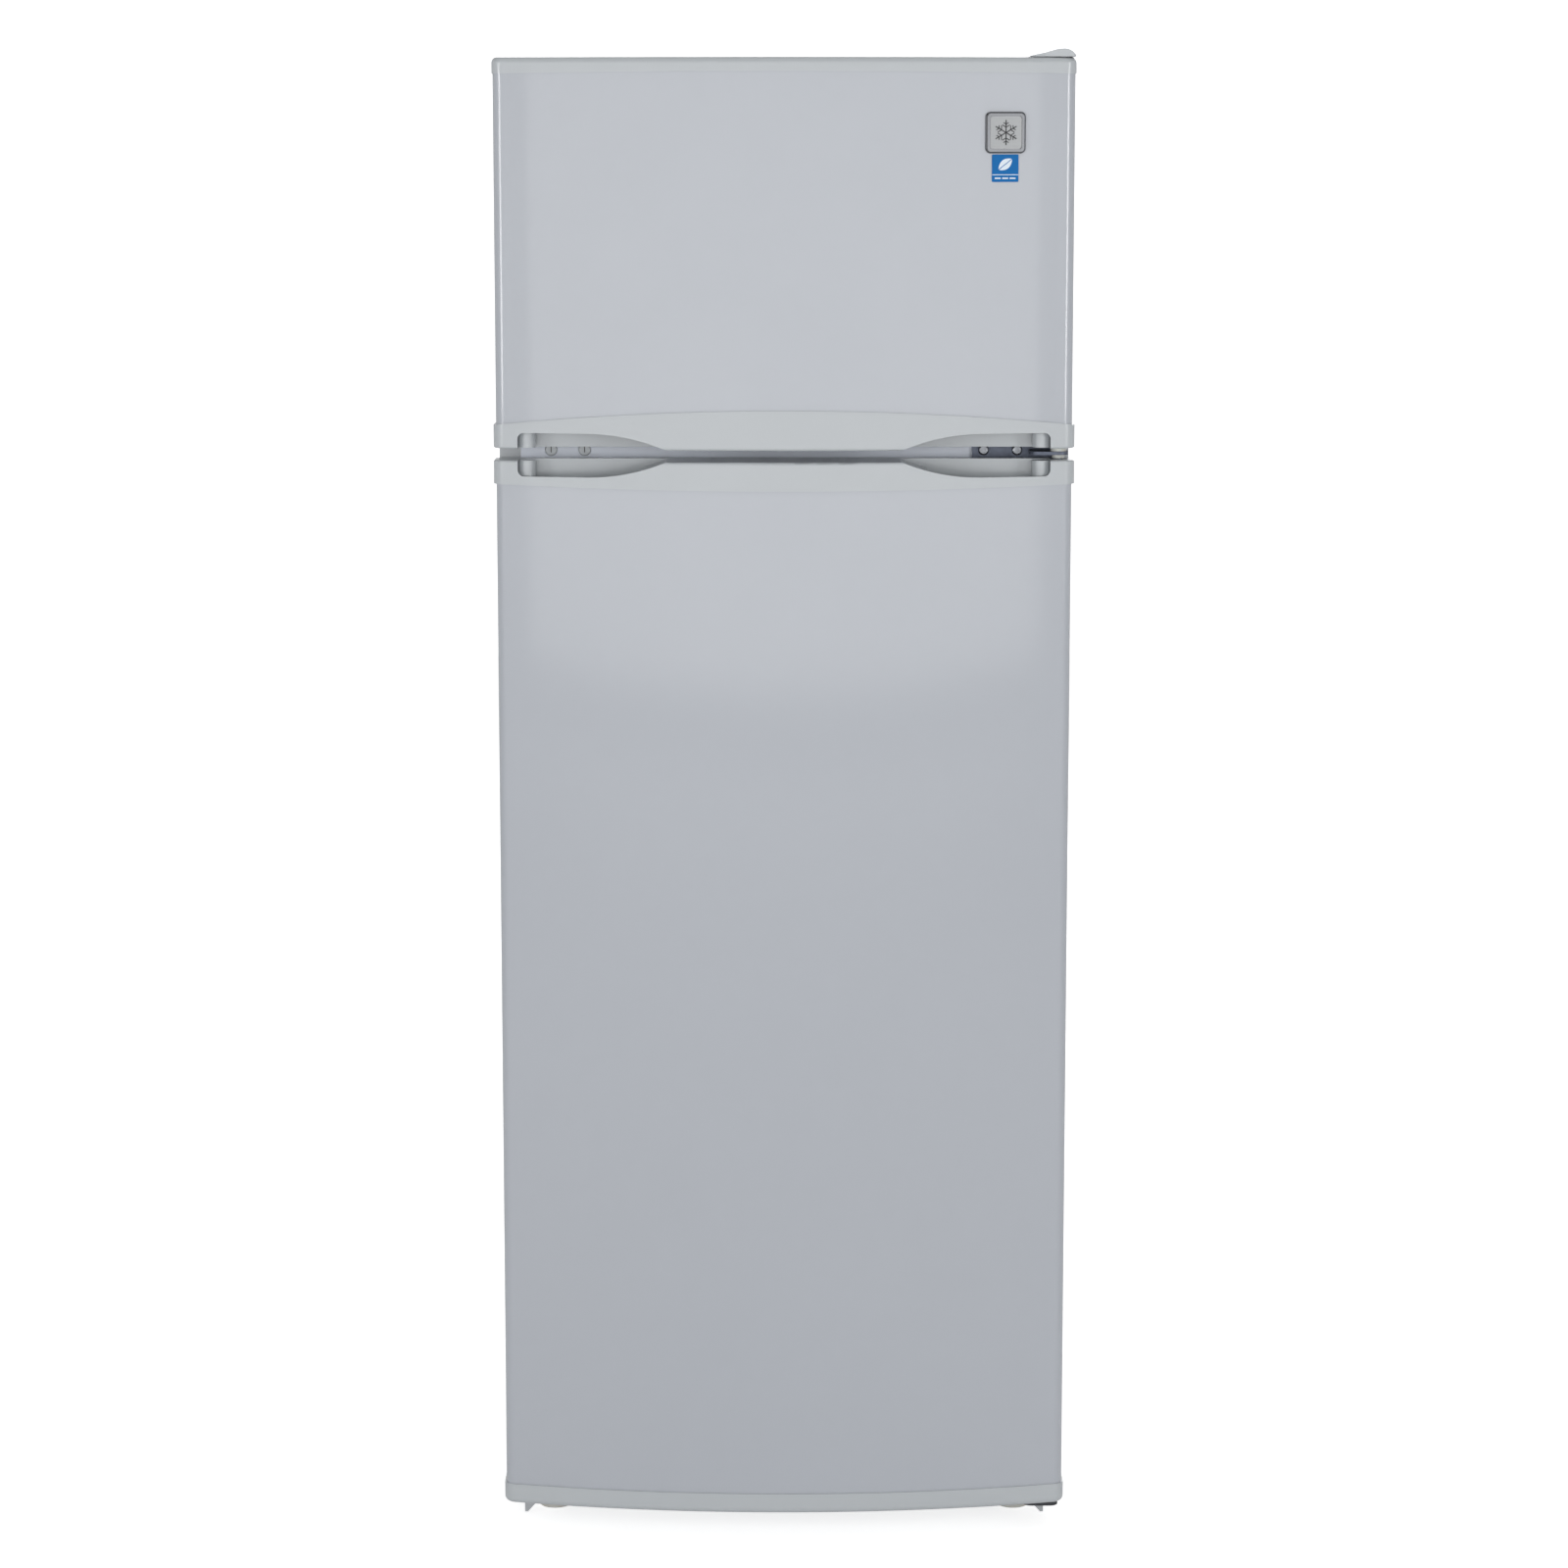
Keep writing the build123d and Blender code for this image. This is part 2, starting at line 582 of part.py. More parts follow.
with BuildPart() as refrigerant_tubes:
    stub_end = can_x + can_radius + 2
    stub_y = can_y + 20
    rise_x = stub_end + 36
    rise_y = cabinet_back - 12
    under_shelf = bay_top - 22
    suction_x = can_x - 110
    suction_y = cabinet_back - 4
    suction_entry = bay_top + 50
    liquid_x = drier_x - 60
    liquid_y = cabinet_back - 16
    liquid_low = drier_bottom - 34
    discharge = [(stub_end, stub_y, discharge_z), (rise_x, stub_y, discharge_z),
                 (rise_x, rise_y, discharge_z), (rise_x, rise_y, under_shelf),
                 (condenser_half, rise_y, under_shelf), (condenser_half, condenser_y, under_shelf),
                 (condenser_half, condenser_y, condenser_low - 60)]
    suction = [(can_x - 30, can_y + can_radius - 4, suction_z), (can_x - 30, suction_y, suction_z),
               (suction_x, suction_y, suction_z), (suction_x, suction_y, under_shelf - 2),
               (suction_x, condenser_y, under_shelf - 2), (suction_x, condenser_y, suction_entry),
               (suction_x, cabinet_back - 0.5, suction_entry)]
    liquid = [(drier_x, drier_y, drier_bottom), (drier_x, drier_y, liquid_low),
              (liquid_x, drier_y, liquid_low), (liquid_x, liquid_y, liquid_low),
              (liquid_x, liquid_y, drier_bottom + 50)]
    for route in (discharge, suction, liquid):
        add(wire(route, 7, tube_radius))
refrigerant_tubes.part.label = "refrigerant_tubes"
export_step(refrigerant_tubes.part, "parts/refrigerant_tubes.step")

gland_bore = 3.6
with BuildPart() as cable_gland:
    rod((gland_x, cabinet_back, gland_z), (0, 1, 0), gland_outer + 3, 3)
    fillet(cable_gland.edges().filter_by(GeomType.CIRCLE).group_by(Axis.Y)[-1], 1.5)
    rod((gland_x, cabinet_back - 9, gland_z), (0, 1, 0), gland_outer - 0.1, 9)
    rod((gland_x, cabinet_back - 10, gland_z), (0, 1, 0), gland_bore, 20, mode=Mode.SUBTRACT)
cable_gland.part.label = "cable_gland"
export_step(cable_gland.part, "parts/cable_gland.step")

# ================================================================ fridge compartment fittings
shelf_half = half_cavity - 2
shelf_front = -112
shelf_back = 152
glass_half = shelf_half - 12
glass_front = shelf_front + 16
glass_back = shelf_back - 12
glass_thick = 4
glass_ledge = 8
with BuildPart() as shelf_frames:
    for top in shelf_tops:
        block((-shelf_half, shelf_half), (shelf_front, shelf_back), (top - shelf_thick, top))
    fillet(shelf_frames.edges().filter_by(Axis.X).group_by(Axis.Y)[0], 4)
    for top in shelf_tops:
        block((-glass_half, glass_half), (glass_front, glass_back), (top - glass_thick, top + 1),
              mode=Mode.SUBTRACT)
        block((-glass_half + glass_ledge, glass_half - glass_ledge),
              (glass_front + glass_ledge, glass_back - glass_ledge),
              (top - shelf_thick - 1, top + 1), mode=Mode.SUBTRACT)
shelf_frames.part.label = "shelf_frames"
export_step(shelf_frames.part, "parts/shelf_frames.step")

with BuildPart() as shelf_glass:
    for top in shelf_tops:
        block((-glass_half, glass_half), (glass_front, glass_back), (top - glass_thick, top - 0.3))
shelf_glass.part.label = "shelf_glass"
export_step(shelf_glass.part, "parts/shelf_glass.step")

crisper_half = 198
crisper_front = -118
crisper_back = 42
crisper_bottom = fridge_floor + 3
crisper_wall = 2.5
crisper_top = 276
runner_clearance = 0.5
with BuildPart() as crisper_outside:
    block((-crisper_half, crisper_half), (crisper_front, crisper_back), (crisper_bottom, crisper_top))
    fillet(crisper_outside.edges().filter_by(Axis.Z), 14)
    fillet(crisper_outside.faces().sort_by(Axis.Z)[0].edges(), 8)

with BuildPart() as crisper_inside:
    block((-crisper_half + crisper_wall, crisper_half - crisper_wall),
          (crisper_front + crisper_wall, crisper_back - crisper_wall),
          (crisper_bottom + crisper_wall, crisper_top + 1))
    fillet(crisper_inside.edges().filter_by(Axis.Z), 12)
    fillet(crisper_inside.faces().sort_by(Axis.Z)[0].edges(), 6)

with BuildPart() as crisper_drawer:
    add(crisper_outside.part)
    block((-crisper_half - 16, crisper_half + 16), (crisper_front + 20, crisper_back - 4),
          (runner_top + runner_clearance, runner_top + runner_clearance + 3))
    block((-crisper_half + 20, crisper_half - 20), (crisper_front - 8, crisper_front + 4),
          (crisper_top - 14, crisper_top))
    fillet(crisper_drawer.edges().filter_by(Axis.Z).group_by(Axis.Y)[0], 5)
    block((-crisper_half + 20, crisper_half - 20), (crisper_front - 5.5, crisper_front),
          (crisper_top - 20, crisper_top - 2.5), mode=Mode.SUBTRACT)
    add(crisper_inside.part, mode=Mode.SUBTRACT)
crisper_drawer.part.label = "crisper_drawer"
export_step(crisper_drawer.part, "parts/crisper_drawer.step")

# The control housing hangs from the fridge ceiling: knob in front, lamp behind a lens underneath.
housing_x = (-115, 115)
housing_y = (-82, 62)
housing_bottom = 986
knob_x = 62
knob_z = 1010
knob_radius = 16
knob_shaft = 3
window_x = (-92, 24)
window_y = (-56, 44)
with BuildPart() as control_housing:
    block(housing_x, housing_y, (housing_bottom, fridge_ceiling))
    fillet(control_housing.edges().filter_by(Axis.Z), 14)
    fillet(control_housing.faces().sort_by(Axis.Z)[0].edges(), 8)
    block((housing_x[0] + 3, housing_x[1] - 3), (housing_y[0] + 3, housing_y[1] - 3),
          (housing_bottom + 11, fridge_ceiling + 1), mode=Mode.SUBTRACT)
    block(window_x, window_y, (housing_bottom - 1, fridge_ceiling), mode=Mode.SUBTRACT)
    rod((knob_x, housing_y[0] + 6, knob_z), (0, -1, 0), knob_shaft + 0.06, 20, mode=Mode.SUBTRACT)
control_housing.part.label = "control_housing"
export_step(control_housing.part, "parts/control_housing.step")

with BuildPart() as lamp_lens:
    block((window_x[0] + 0.2, window_x[1] - 0.2), (window_y[0] + 0.2, window_y[1] - 0.2),
          (housing_bottom + 1, housing_bottom + 4))
    with Locations((sum(window_x) / 2, sum(window_y) / 2, housing_bottom + 1)):
        with GridLocations(6, 1, 18, 1):
            Box(2, window_y[1] - window_y[0] - 6, 1)
lamp_lens.part.label = "lamp_lens"
export_step(lamp_lens.part, "parts/lamp_lens.step")

lamp_y = -10
lamp_z = 1013
socket_start = housing_x[0] + 7
bulb_x = -54
with BuildPart() as lamp:
    rod((socket_start, lamp_y, lamp_z), (1, 0, 0), 11, 24)
    fillet(lamp.edges().filter_by(GeomType.CIRCLE), 2)
    rod((socket_start + 8, lamp_y, lamp_z), (1, 0, 0), 7, 50)
    with Locations((bulb_x, lamp_y, lamp_z)):
        Sphere(13)
lamp.part.label = "lamp"
export_step(lamp.part, "parts/lamp.step")

with BuildPart() as thermostat_knob:
    knob_front = (knob_x, housing_y[0] - 0.5, knob_z)
    rod(knob_front, (0, -1, 0), knob_radius, 5)
    fillet(thermostat_knob.edges().filter_by(GeomType.CIRCLE).group_by(Axis.Y)[0], 1)
    block((knob_x - 4, knob_x + 4), (housing_y[0] - 15, housing_y[0] - 3), (knob_z - 14, knob_z + 14))
    fillet(thermostat_knob.faces().sort_by(Axis.Y)[0].edges(), 2)
    rod(knob_front, (0, 1, 0), knob_shaft, 7)
thermostat_knob.part.label = "thermostat_knob"
export_step(thermostat_knob.part, "parts/thermostat_knob.step")

switch_x = -135
switch_z = 1023
switch_front = -199
plunger_radius = 5
with BuildPart() as light_switch_body:
    block((switch_x - 13, switch_x + 13), (switch_front, switch_front + 34),
          (switch_z - 10, fridge_ceiling))
    fillet(light_switch_body.edges().filter_by(Axis.Y).group_by(Axis.Z)[0], 4)
    rod((switch_x, switch_front - 1, switch_z), (0, 1, 0), plunger_radius + 0.08, 28, mode=Mode.SUBTRACT)
light_switch_body.part.label = "light_switch_body"
export_step(light_switch_body.part, "parts/light_switch_body.step")

with BuildPart() as light_switch_plunger:
    plunger_tip = door_liner_back + 0.6
    rod((switch_x, plunger_tip, switch_z), (0, 1, 0), plunger_radius, 32)
    fillet(light_switch_plunger.edges().filter_by(GeomType.CIRCLE).group_by(Axis.Y)[0], 2)
light_switch_plunger.part.label = "light_switch_plunger"
export_step(light_switch_plunger.part, "parts/light_switch_plunger.step")

# ================================================================ freezer fittings
cover_plane = 106
with BuildPart() as evaporator_cover:
    block((-half_cavity + 0.5, half_cavity - 0.5), (cover_plane, cover_plane + 3),
          (freezer_floor + 0.5, freezer_ceiling - 0.5))
    fillet(evaporator_cover.edges().filter_by(Axis.Y), 15.5)
    with Locations((0, cover_plane, freezer_ceiling - 34)):
        with GridLocations(20, 13, 14, 3):
            Box(13, 20, 5, mode=Mode.SUBTRACT)
    with Locations((0, cover_plane, freezer_floor + 20)):
        with GridLocations(20, 1, 20, 1):
            Box(13, 20, 8, mode=Mode.SUBTRACT)
evaporator_cover.part.label = "evaporator_cover"
export_step(evaporator_cover.part, "parts/evaporator_cover.step")

fin_count = 32
coil_low = 1112
coil_high = 1246
coil_half = 186
coil_rows = [coil_low + 15 + 26 * row for row in range(5)]
coil_y = (136, 164)
with BuildPart() as evaporator:
    with Locations((0, sum(coil_y) / 2, (coil_low + coil_high) / 2)):
        with GridLocations(11, 1, fin_count, 1):
            Box(0.6, 52, coil_high - coil_low)
    for height in coil_rows:
        for y in coil_y:
            rod((-coil_half, y, height), (1, 0, 0), 4, 2 * coil_half)
        for x in (-coil_half, coil_half):
            block((x - 3, x + 3), coil_y, (height - 3, height + 3))
evaporator.part.label = "evaporator"
export_step(evaporator.part, "parts/evaporator.step")

fan_y = 131
fan_z = 1308
fan_shaft = 1.6
motor_front = 150
motor_length = 30
with BuildPart() as fan_motor:
    rod((0, motor_front, fan_z), (0, 1, 0), 21, motor_length)
    fillet(fan_motor.edges().filter_by(GeomType.CIRCLE), 4)
    rod((0, fan_y - 9, fan_z), (0, 1, 0), fan_shaft, motor_front - fan_y + 11)
    block((-60, 60), (motor_front + motor_length - 2, cavity_back), (fan_z - 8, fan_z + 8))
fan_motor.part.label = "fan_motor"
export_step(fan_motor.part, "parts/fan_motor.step")

fan_radius = 46
with BuildPart() as fan_blade:
    rod((0, fan_y - 7, fan_z), (0, 1, 0), 12, 14)
    for turn in range(4):
        with BuildSketch(Plane(origin=(0, fan_y, fan_z), z_dir=(0, -1, 0), x_dir=(1, 0, 0))):
            with Locations(Location((0, 0), 90 * turn)):
                with Locations((27, 0)):
                    RectangleRounded(fan_radius * 0.8, 30, 8)
        extrude(amount=1)
    rod((0, fan_y - 11, fan_z), (0, 1, 0), fan_shaft + 0.06, 40, mode=Mode.SUBTRACT)
fan_blade.part.label = "fan_blade"
export_step(fan_blade.part, "parts/fan_blade.step")

rim = 3
shelf_z = freezer_shelf_height + rim + 0.1
rim_x = half_cavity - rim - 1
rim_y = (-112, 96)
with BuildPart() as freezer_shelf:
    with BuildLine(Plane.XY.offset(shelf_z)) as rim_path:
        FilletPolyline((-rim_x, rim_y[0]), (rim_x, rim_y[0]), (rim_x, rim_y[1]), (-rim_x, rim_y[1]),
                       radius=14, close=True)
    with BuildSketch(Plane(origin=rim_path.line @ 0, z_dir=rim_path.line % 0)):
        Circle(rim)
    sweep(path=rim_path.line)
    rod((-rim_x, (rim_y[0] + rim_y[1]) / 2, shelf_z - 0.4), (1, 0, 0), 2.2, 2 * rim_x)
    with Locations((0, rim_y[0], shelf_z + 1.2)):
        with GridLocations(19, 1, 23, 1):
            Cylinder(1.5, rim_y[1] - rim_y[0], rotation=(-90, 0, 0),
                     align=(Align.CENTER, Align.CENTER, Align.MIN))
freezer_shelf.part.label = "freezer_shelf"
export_step(freezer_shelf.part, "parts/freezer_shelf.step")

# ================================================================ doors
arch_reach = half_trim + 10
freezer_trim_ends = 22
freezer_trim_middle = 37.4
fridge_trim_ends = 22.5
fridge_trim_middle = 27
cap_rise = 2.3
top_cap_ends = freezer_door_top - cap_height
bottom_cap_top = fridge_door_bottom + bottom_cap_height
arch_gap = 0.2
shell_wall = 2.5
hollow_half = 225


def door_outline(height, half_width, front, back, corner):
    """Plan of a door at one height: a bowed front with rounded corners, and a flat back."""
    edge = front + bow_radius - sqrt(bow_radius**2 - half_width**2)
    with BuildSketch(Plane.XY.offset(height)) as outline:
        with BuildLine():
            ThreePointArc((-half_width, edge), (0, front), (half_width, edge))
            Polyline((half_width, edge), (half_width, back), (-half_width, back), (-half_width, edge))
        make_face()
        fillet(outline.vertices().group_by(Axis.Y)[0], corner)
    return outline.sketch


def arch_face(ends, middle, limit):
    """Front view of all that lies between a level limit and an arch across the door."""
    with BuildSketch(Plane.XZ.offset(100)) as face:
        with BuildLine():
            ThreePointArc((-half_trim, ends), (0, middle), (half_trim, ends))
            Polyline((half_trim, ends), (arch_reach, ends), (arch_reach, limit), (-arch_reach, limit),
                     (-arch_reach, ends), (-half_trim, ends))
        make_face()
    return face.sketch


def skin_sheet(low, high):
    """The bent steel sheet of a door, with its returns along the back."""
    tall = high - low
    with BuildPart() as sheet:
        extrude(door_outline(low, half_door, skin_front, door_back, door_corner), amount=tall)
        extrude(door_outline(low, half_door - steel, skin_front + steel, door_back - steel,
                             door_corner - steel), amount=tall, mode=Mode.SUBTRACT)
        block((-half_door + skin_return, half_door - skin_return), (door_back - 2 * steel, door_back + 1),
              (low, high), mode=Mode.SUBTRACT)
    return sheet.part


def dyke_ring(low, high, shrink):
    """The raised ring on the inside of a door, that stands into the compartment."""
    half = dyke_half_width - shrink
    inner = dyke_half_width - dyke_width + shrink
    with BuildPart() as ring:
        block((-half, half), (door_back, dyke_back - shrink), (low + shrink, high - shrink))
        block((-inner, inner), (door_back - 1, dyke_back + 1),
              (low + dyke_width - shrink, high - dyke_width + shrink), mode=Mode.SUBTRACT)
        if shrink == 0:
            fillet(ring.edges().filter_by(Axis.Y), 7)
            fillet(ring.faces().sort_by(Axis.Y)[-1].edges(), 6)
    return ring.part


def foam_slab(low, high, dyke_low, dyke_high):
    """The foam of a door: the slab inside the skin, and the ring inside the liner's dyke."""
    with BuildPart() as slab:
        extrude(door_outline(low, half_door - steel, skin_front + steel, door_back - steel,
                             door_corner - steel), amount=high - low)
        block((-half_door + skin_return, half_door - skin_return), (door_back - 2 * steel, door_back),
              (low, high))
        add(dyke_ring(dyke_low, dyke_high, 2))
    return slab.part


def liner_panel(low, high, dyke_low, dyke_high, bin_floors):
    """The moulded inside of a door: flat panel, raised ring and the ledges that carry the bins."""
    inner = dyke_half_width - dyke_width
    with BuildPart() as panel:
        block((-half_door + 7, half_door - 7), (door_back, door_liner_back), (low, high))
        add(dyke_ring(dyke_low, dyke_high, 0))
        for floor in bin_floors:
            for side in (-1, 1):
                ledge = sorted((side * (inner + 1), side * (inner - 10)))
                block(ledge, (door_back, dyke_back - 8), (floor - 9, floor))
        add(dyke_ring(dyke_low, dyke_high, 2), mode=Mode.SUBTRACT)
    return panel.part


def gasket_ring(low, high):
    """A magnetic door gasket: a narrow bellows between the door and a wider sealing face."""
    with BuildPart() as ring:
        layers = ((door_liner_back, 3, 2.5), (door_liner_back + 3, 3, 5), (door_liner_back + 6, 3.8, 1))
        for start, thick, pinch in layers:
            y = (start, min(start + thick, gasket_back))
            outer = gasket_half - pinch
            inner = gasket_half - gasket_width + pinch
            block((-outer, outer), y, (low + pinch, high - pinch))
            block((-inner, inner), y, (low + gasket_width - pinch, high - gasket_width + pinch),
                  mode=Mode.SUBTRACT)
        fillet(ring.edges().filter_by(Axis.Y).group_by(Axis.X)[0], 3)
        fillet(ring.edges().filter_by(Axis.Y).group_by(Axis.X)[-1], 3)
    return ring.part


def door_bin(floor, tall):
    """An open-topped bin that sits between the dykes and rests on the liner's ledges."""
    half = dyke_half_width - dyke_width - 1
    y = (door_liner_back + 0.3, bin_back)
    wall = 2.5
    with BuildPart() as outside:
        block((-half, half), y, (floor, floor + tall))
        fillet(outside.edges().filter_by(Axis.Z).group_by(Axis.Y)[-1], 24)
        fillet(outside.faces().sort_by(Axis.Z)[0].edges().filter_by(Axis.Y, reverse=True), 5)
    with BuildPart() as inside:
        block((-half + wall, half - wall), (y[0] + wall, y[1] - wall), (floor + wall, floor + tall + 1))
        fillet(inside.edges().filter_by(Axis.Z).group_by(Axis.Y)[-1], 21)
    with BuildPart() as tray:
        add(outside.part)
        add(inside.part, mode=Mode.SUBTRACT)
    return tray.part


recess_outer = 252
recess_inner = 111
recess_slope = 185
recess_height = 15
recess_back = -234
lip = 4
boss_x = 244
boss_y = -247
boss_radius = 8.5


def handle_trim(edge, up, ends, middle):
    """The moulded trim along one edge of a door, with a finger recess at each end.

    edge is the height of the door's edge, and up is 1 where the trim rises from it or -1 where it hangs.
    """

    def level(rise):
        return edge + up * rise

    low, high = sorted((level(0), level(middle)))
    pocket_low, pocket_high = sorted((level(-1), level(18.5)))
    with BuildPart() as pocket:
        extrude(door_outline(pocket_low, half_trim - lip, door_front + lip, door_back, 8),
                amount=pocket_high - pocket_low)
        block((recess_inner + 24, recess_outer - 2), (-300, recess_back), (pocket_low, pocket_high),
              mode=Mode.INTERSECT)

    with BuildPart() as hollow:
        hollow_low, hollow_high = sorted((level(shell_wall), level(middle + 1)))
        extrude(door_outline(hollow_low, half_trim - shell_wall, door_front + shell_wall,
                             door_back - shell_wall, 8), amount=hollow_high - hollow_low)
        block((-recess_inner + 12, recess_inner - 12), (-300, 0), (hollow_low, hollow_high),
              mode=Mode.INTERSECT)

    with BuildPart() as trim:
        extrude(door_outline(low, half_trim, door_front, door_back, door_corner + 2), amount=high - low)
        gap_face = trim.faces().sort_by(Axis.Z)[0 if up == 1 else -1]
        fillet(gap_face.edges(), 2)
        extrude(arch_face(level(ends), level(middle), level(middle + 20)), amount=220, mode=Mode.SUBTRACT)
        add(hollow.part, mode=Mode.SUBTRACT)
        for side in (-1, 1):
            with BuildSketch(Plane.XZ.offset(-recess_back)):
                with BuildLine():
                    Line((side * recess_outer, level(-1)), (side * recess_outer, level(recess_height - 6)))
                    ThreePointArc((side * recess_outer, level(recess_height - 6)),
                                  (side * (recess_outer - 1.8), level(recess_height - 1.8)),
                                  (side * (recess_outer - 6), level(recess_height)))
                    Line((side * (recess_outer - 6), level(recess_height)),
                         (side * recess_slope, level(recess_height)))
                    TangentArc((side * recess_slope, level(recess_height)),
                               (side * recess_inner, level(0)), tangent=(-side, 0))
                    Polyline((side * recess_inner, level(0)), (side * recess_inner, level(-1)),
                             (side * recess_outer, level(-1)))
                make_face()
            extrude(amount=80, mode=Mode.SUBTRACT)
        add(pocket.part, mode=Mode.SUBTRACT)
        add(pocket.part.mirror(Plane.YZ), mode=Mode.SUBTRACT)
        for side in (-1, 1):
            start = (side * boss_x, boss_y, level(0.6))
            rod(start, (0, 0, up), boss_radius, 18.4)
        rod((hinge_x, hinge_y, level(-1)), (0, 0, up), hinge_bore, 17, mode=Mode.SUBTRACT)
    return trim.part


freezer_arch = (freezer_door_bottom + freezer_trim_ends, freezer_door_bottom + freezer_trim_middle)
cap_arch = (top_cap_ends, top_cap_ends + cap_rise)
fridge_arch = (fridge_door_top - fridge_trim_ends, fridge_door_top - fridge_trim_middle)
freezer_dyke = (1098, 1362)
fridge_dyke = (104, 1006)
freezer_gasket = (1074, 1408)
fridge_gasket = (47, 1046)
freezer_bins = (1130, 1246)
fridge_bins = (136, 440, 700)
bin_height = 84
bottle_bin_height = 110

# ---------------------------------------------------------------- freezer door
with BuildPart() as freezer_door_skin:
    add(skin_sheet(freezer_arch[0], cap_arch[1]))
    extrude(arch_face(freezer_arch[0], freezer_arch[1], freezer_door_bottom), amount=220, mode=Mode.SUBTRACT)
    extrude(arch_face(cap_arch[0], cap_arch[1], freezer_door_top), amount=220, mode=Mode.SUBTRACT)
freezer_door_skin.part.label = "freezer_door_skin"
export_step(freezer_door_skin.part, "parts/freezer_door_skin.step")

with BuildPart() as freezer_door_foam:
    add(foam_slab(freezer_arch[0] + arch_gap, cap_arch[0] - arch_gap, *freezer_dyke))
    extrude(arch_face(freezer_arch[0] + arch_gap, freezer_arch[1] + arch_gap, freezer_door_bottom),
            amount=220, mode=Mode.SUBTRACT)
freezer_door_foam.part.label = "freezer_door_foam"
export_step(freezer_door_foam.part, "parts/freezer_door_foam.step")

with BuildPart() as freezer_door_liner:
    add(liner_panel(freezer_door_bottom + 3, freezer_door_top - 4, *freezer_dyke, freezer_bins))
freezer_door_liner.part.label = "freezer_door_liner"
export_step(freezer_door_liner.part, "parts/freezer_door_liner.step")

with BuildPart() as freezer_door_gasket:
    add(gasket_ring(*freezer_gasket))
freezer_door_gasket.part.label = "freezer_door_gasket"
export_step(freezer_door_gasket.part, "parts/freezer_door_gasket.step")

with BuildPart() as freezer_door_top_cap:
    extrude(door_outline(top_cap_ends, half_trim - 1.5, door_front + 0.8, door_back, door_corner + 1),
            amount=cap_height)
    fillet(freezer_door_top_cap.faces().sort_by(Axis.Z)[-1].edges(), 5)
    extrude(arch_face(cap_arch[0], cap_arch[1], top_cap_ends - 20), amount=220, mode=Mode.SUBTRACT)
    block((-hollow_half, hollow_half), (-252, door_back - shell_wall),
          (top_cap_ends - 1, freezer_door_top - shell_wall), mode=Mode.SUBTRACT)
    rod((hinge_x, hinge_y, freezer_door_top - 13), (0, 0, 1), hinge_bore, 20, mode=Mode.SUBTRACT)
freezer_door_top_cap.part.label = "freezer_door_top_cap"
export_step(freezer_door_top_cap.part, "parts/freezer_door_top_cap.step")

with BuildPart() as freezer_door_handle_trim:
    add(handle_trim(freezer_door_bottom, 1, freezer_trim_ends, freezer_trim_middle))
freezer_door_handle_trim.part.label = "freezer_door_handle_trim"
export_step(freezer_door_handle_trim.part, "parts/freezer_door_handle_trim.step")

with BuildPart() as freezer_door_bins:
    for floor in freezer_bins:
        add(door_bin(floor, bin_height))
freezer_door_bins.part.label = "freezer_door_bins"
export_step(freezer_door_bins.part, "parts/freezer_door_bins.step")


def door_face_plane(x, height):
    """A plane flat against the bowed front of a door, facing outwards."""
    turn = asin(x / bow_radius)
    y = skin_front + bow_radius * (1 - cos(turn))
    return Plane(origin=(x, y, height), x_dir=(cos(turn), sin(turn), 0), z_dir=(sin(turn), -cos(turn), 0))


badge_x = 206.5
badge_z = 1360.5
badge_size = 38.5
badge_thick = 3
label_size = 25.5
label_z = 1327.6
badge_plane = door_face_plane(badge_x, badge_z)
with BuildPart() as badge_frame:
    with BuildSketch(badge_plane):
        RectangleRounded(badge_size, badge_size, 5)
    extrude(amount=badge_thick)
    chamfer(badge_frame.faces().sort_by(Axis(badge_plane.origin, badge_plane.z_dir))[-1].edges(), 1.6)
    with BuildSketch(badge_plane.offset(badge_thick)):
        RectangleRounded(badge_size - 8, badge_size - 8, 2.5)
    extrude(amount=-1.2, mode=Mode.SUBTRACT)
badge_frame.part.label = "badge_frame"
export_step(badge_frame.part, "parts/badge_frame.step")

with BuildPart() as door_label:
    with BuildSketch(door_face_plane(badge_x, label_z)):
        RectangleRounded(label_size, label_size, 1)
    extrude(amount=0.5)
door_label.part.label = "door_label"
export_step(door_label.part, "parts/door_label.step")

# ---------------------------------------------------------------- fridge door
with BuildPart() as fridge_door_skin:
    add(skin_sheet(bottom_cap_top, fridge_arch[0]))
    extrude(arch_face(fridge_arch[0], fridge_arch[1], fridge_door_top), amount=220, mode=Mode.SUBTRACT)
fridge_door_skin.part.label = "fridge_door_skin"
export_step(fridge_door_skin.part, "parts/fridge_door_skin.step")

with BuildPart() as fridge_door_foam:
    add(foam_slab(bottom_cap_top + arch_gap, fridge_arch[0] - arch_gap, *fridge_dyke))
    extrude(arch_face(fridge_arch[0] - arch_gap, fridge_arch[1] - arch_gap, fridge_door_top),
            amount=220, mode=Mode.SUBTRACT)
fridge_door_foam.part.label = "fridge_door_foam"
export_step(fridge_door_foam.part, "parts/fridge_door_foam.step")

with BuildPart() as fridge_door_liner:
    add(liner_panel(fridge_door_bottom + 4, fridge_door_top - 3, *fridge_dyke, fridge_bins))
fridge_door_liner.part.label = "fridge_door_liner"
export_step(fridge_door_liner.part, "parts/fridge_door_liner.step")

with BuildPart() as fridge_door_gasket:
    add(gasket_ring(*fridge_gasket))
fridge_door_gasket.part.label = "fridge_door_gasket"
export_step(fridge_door_gasket.part, "parts/fridge_door_gasket.step")

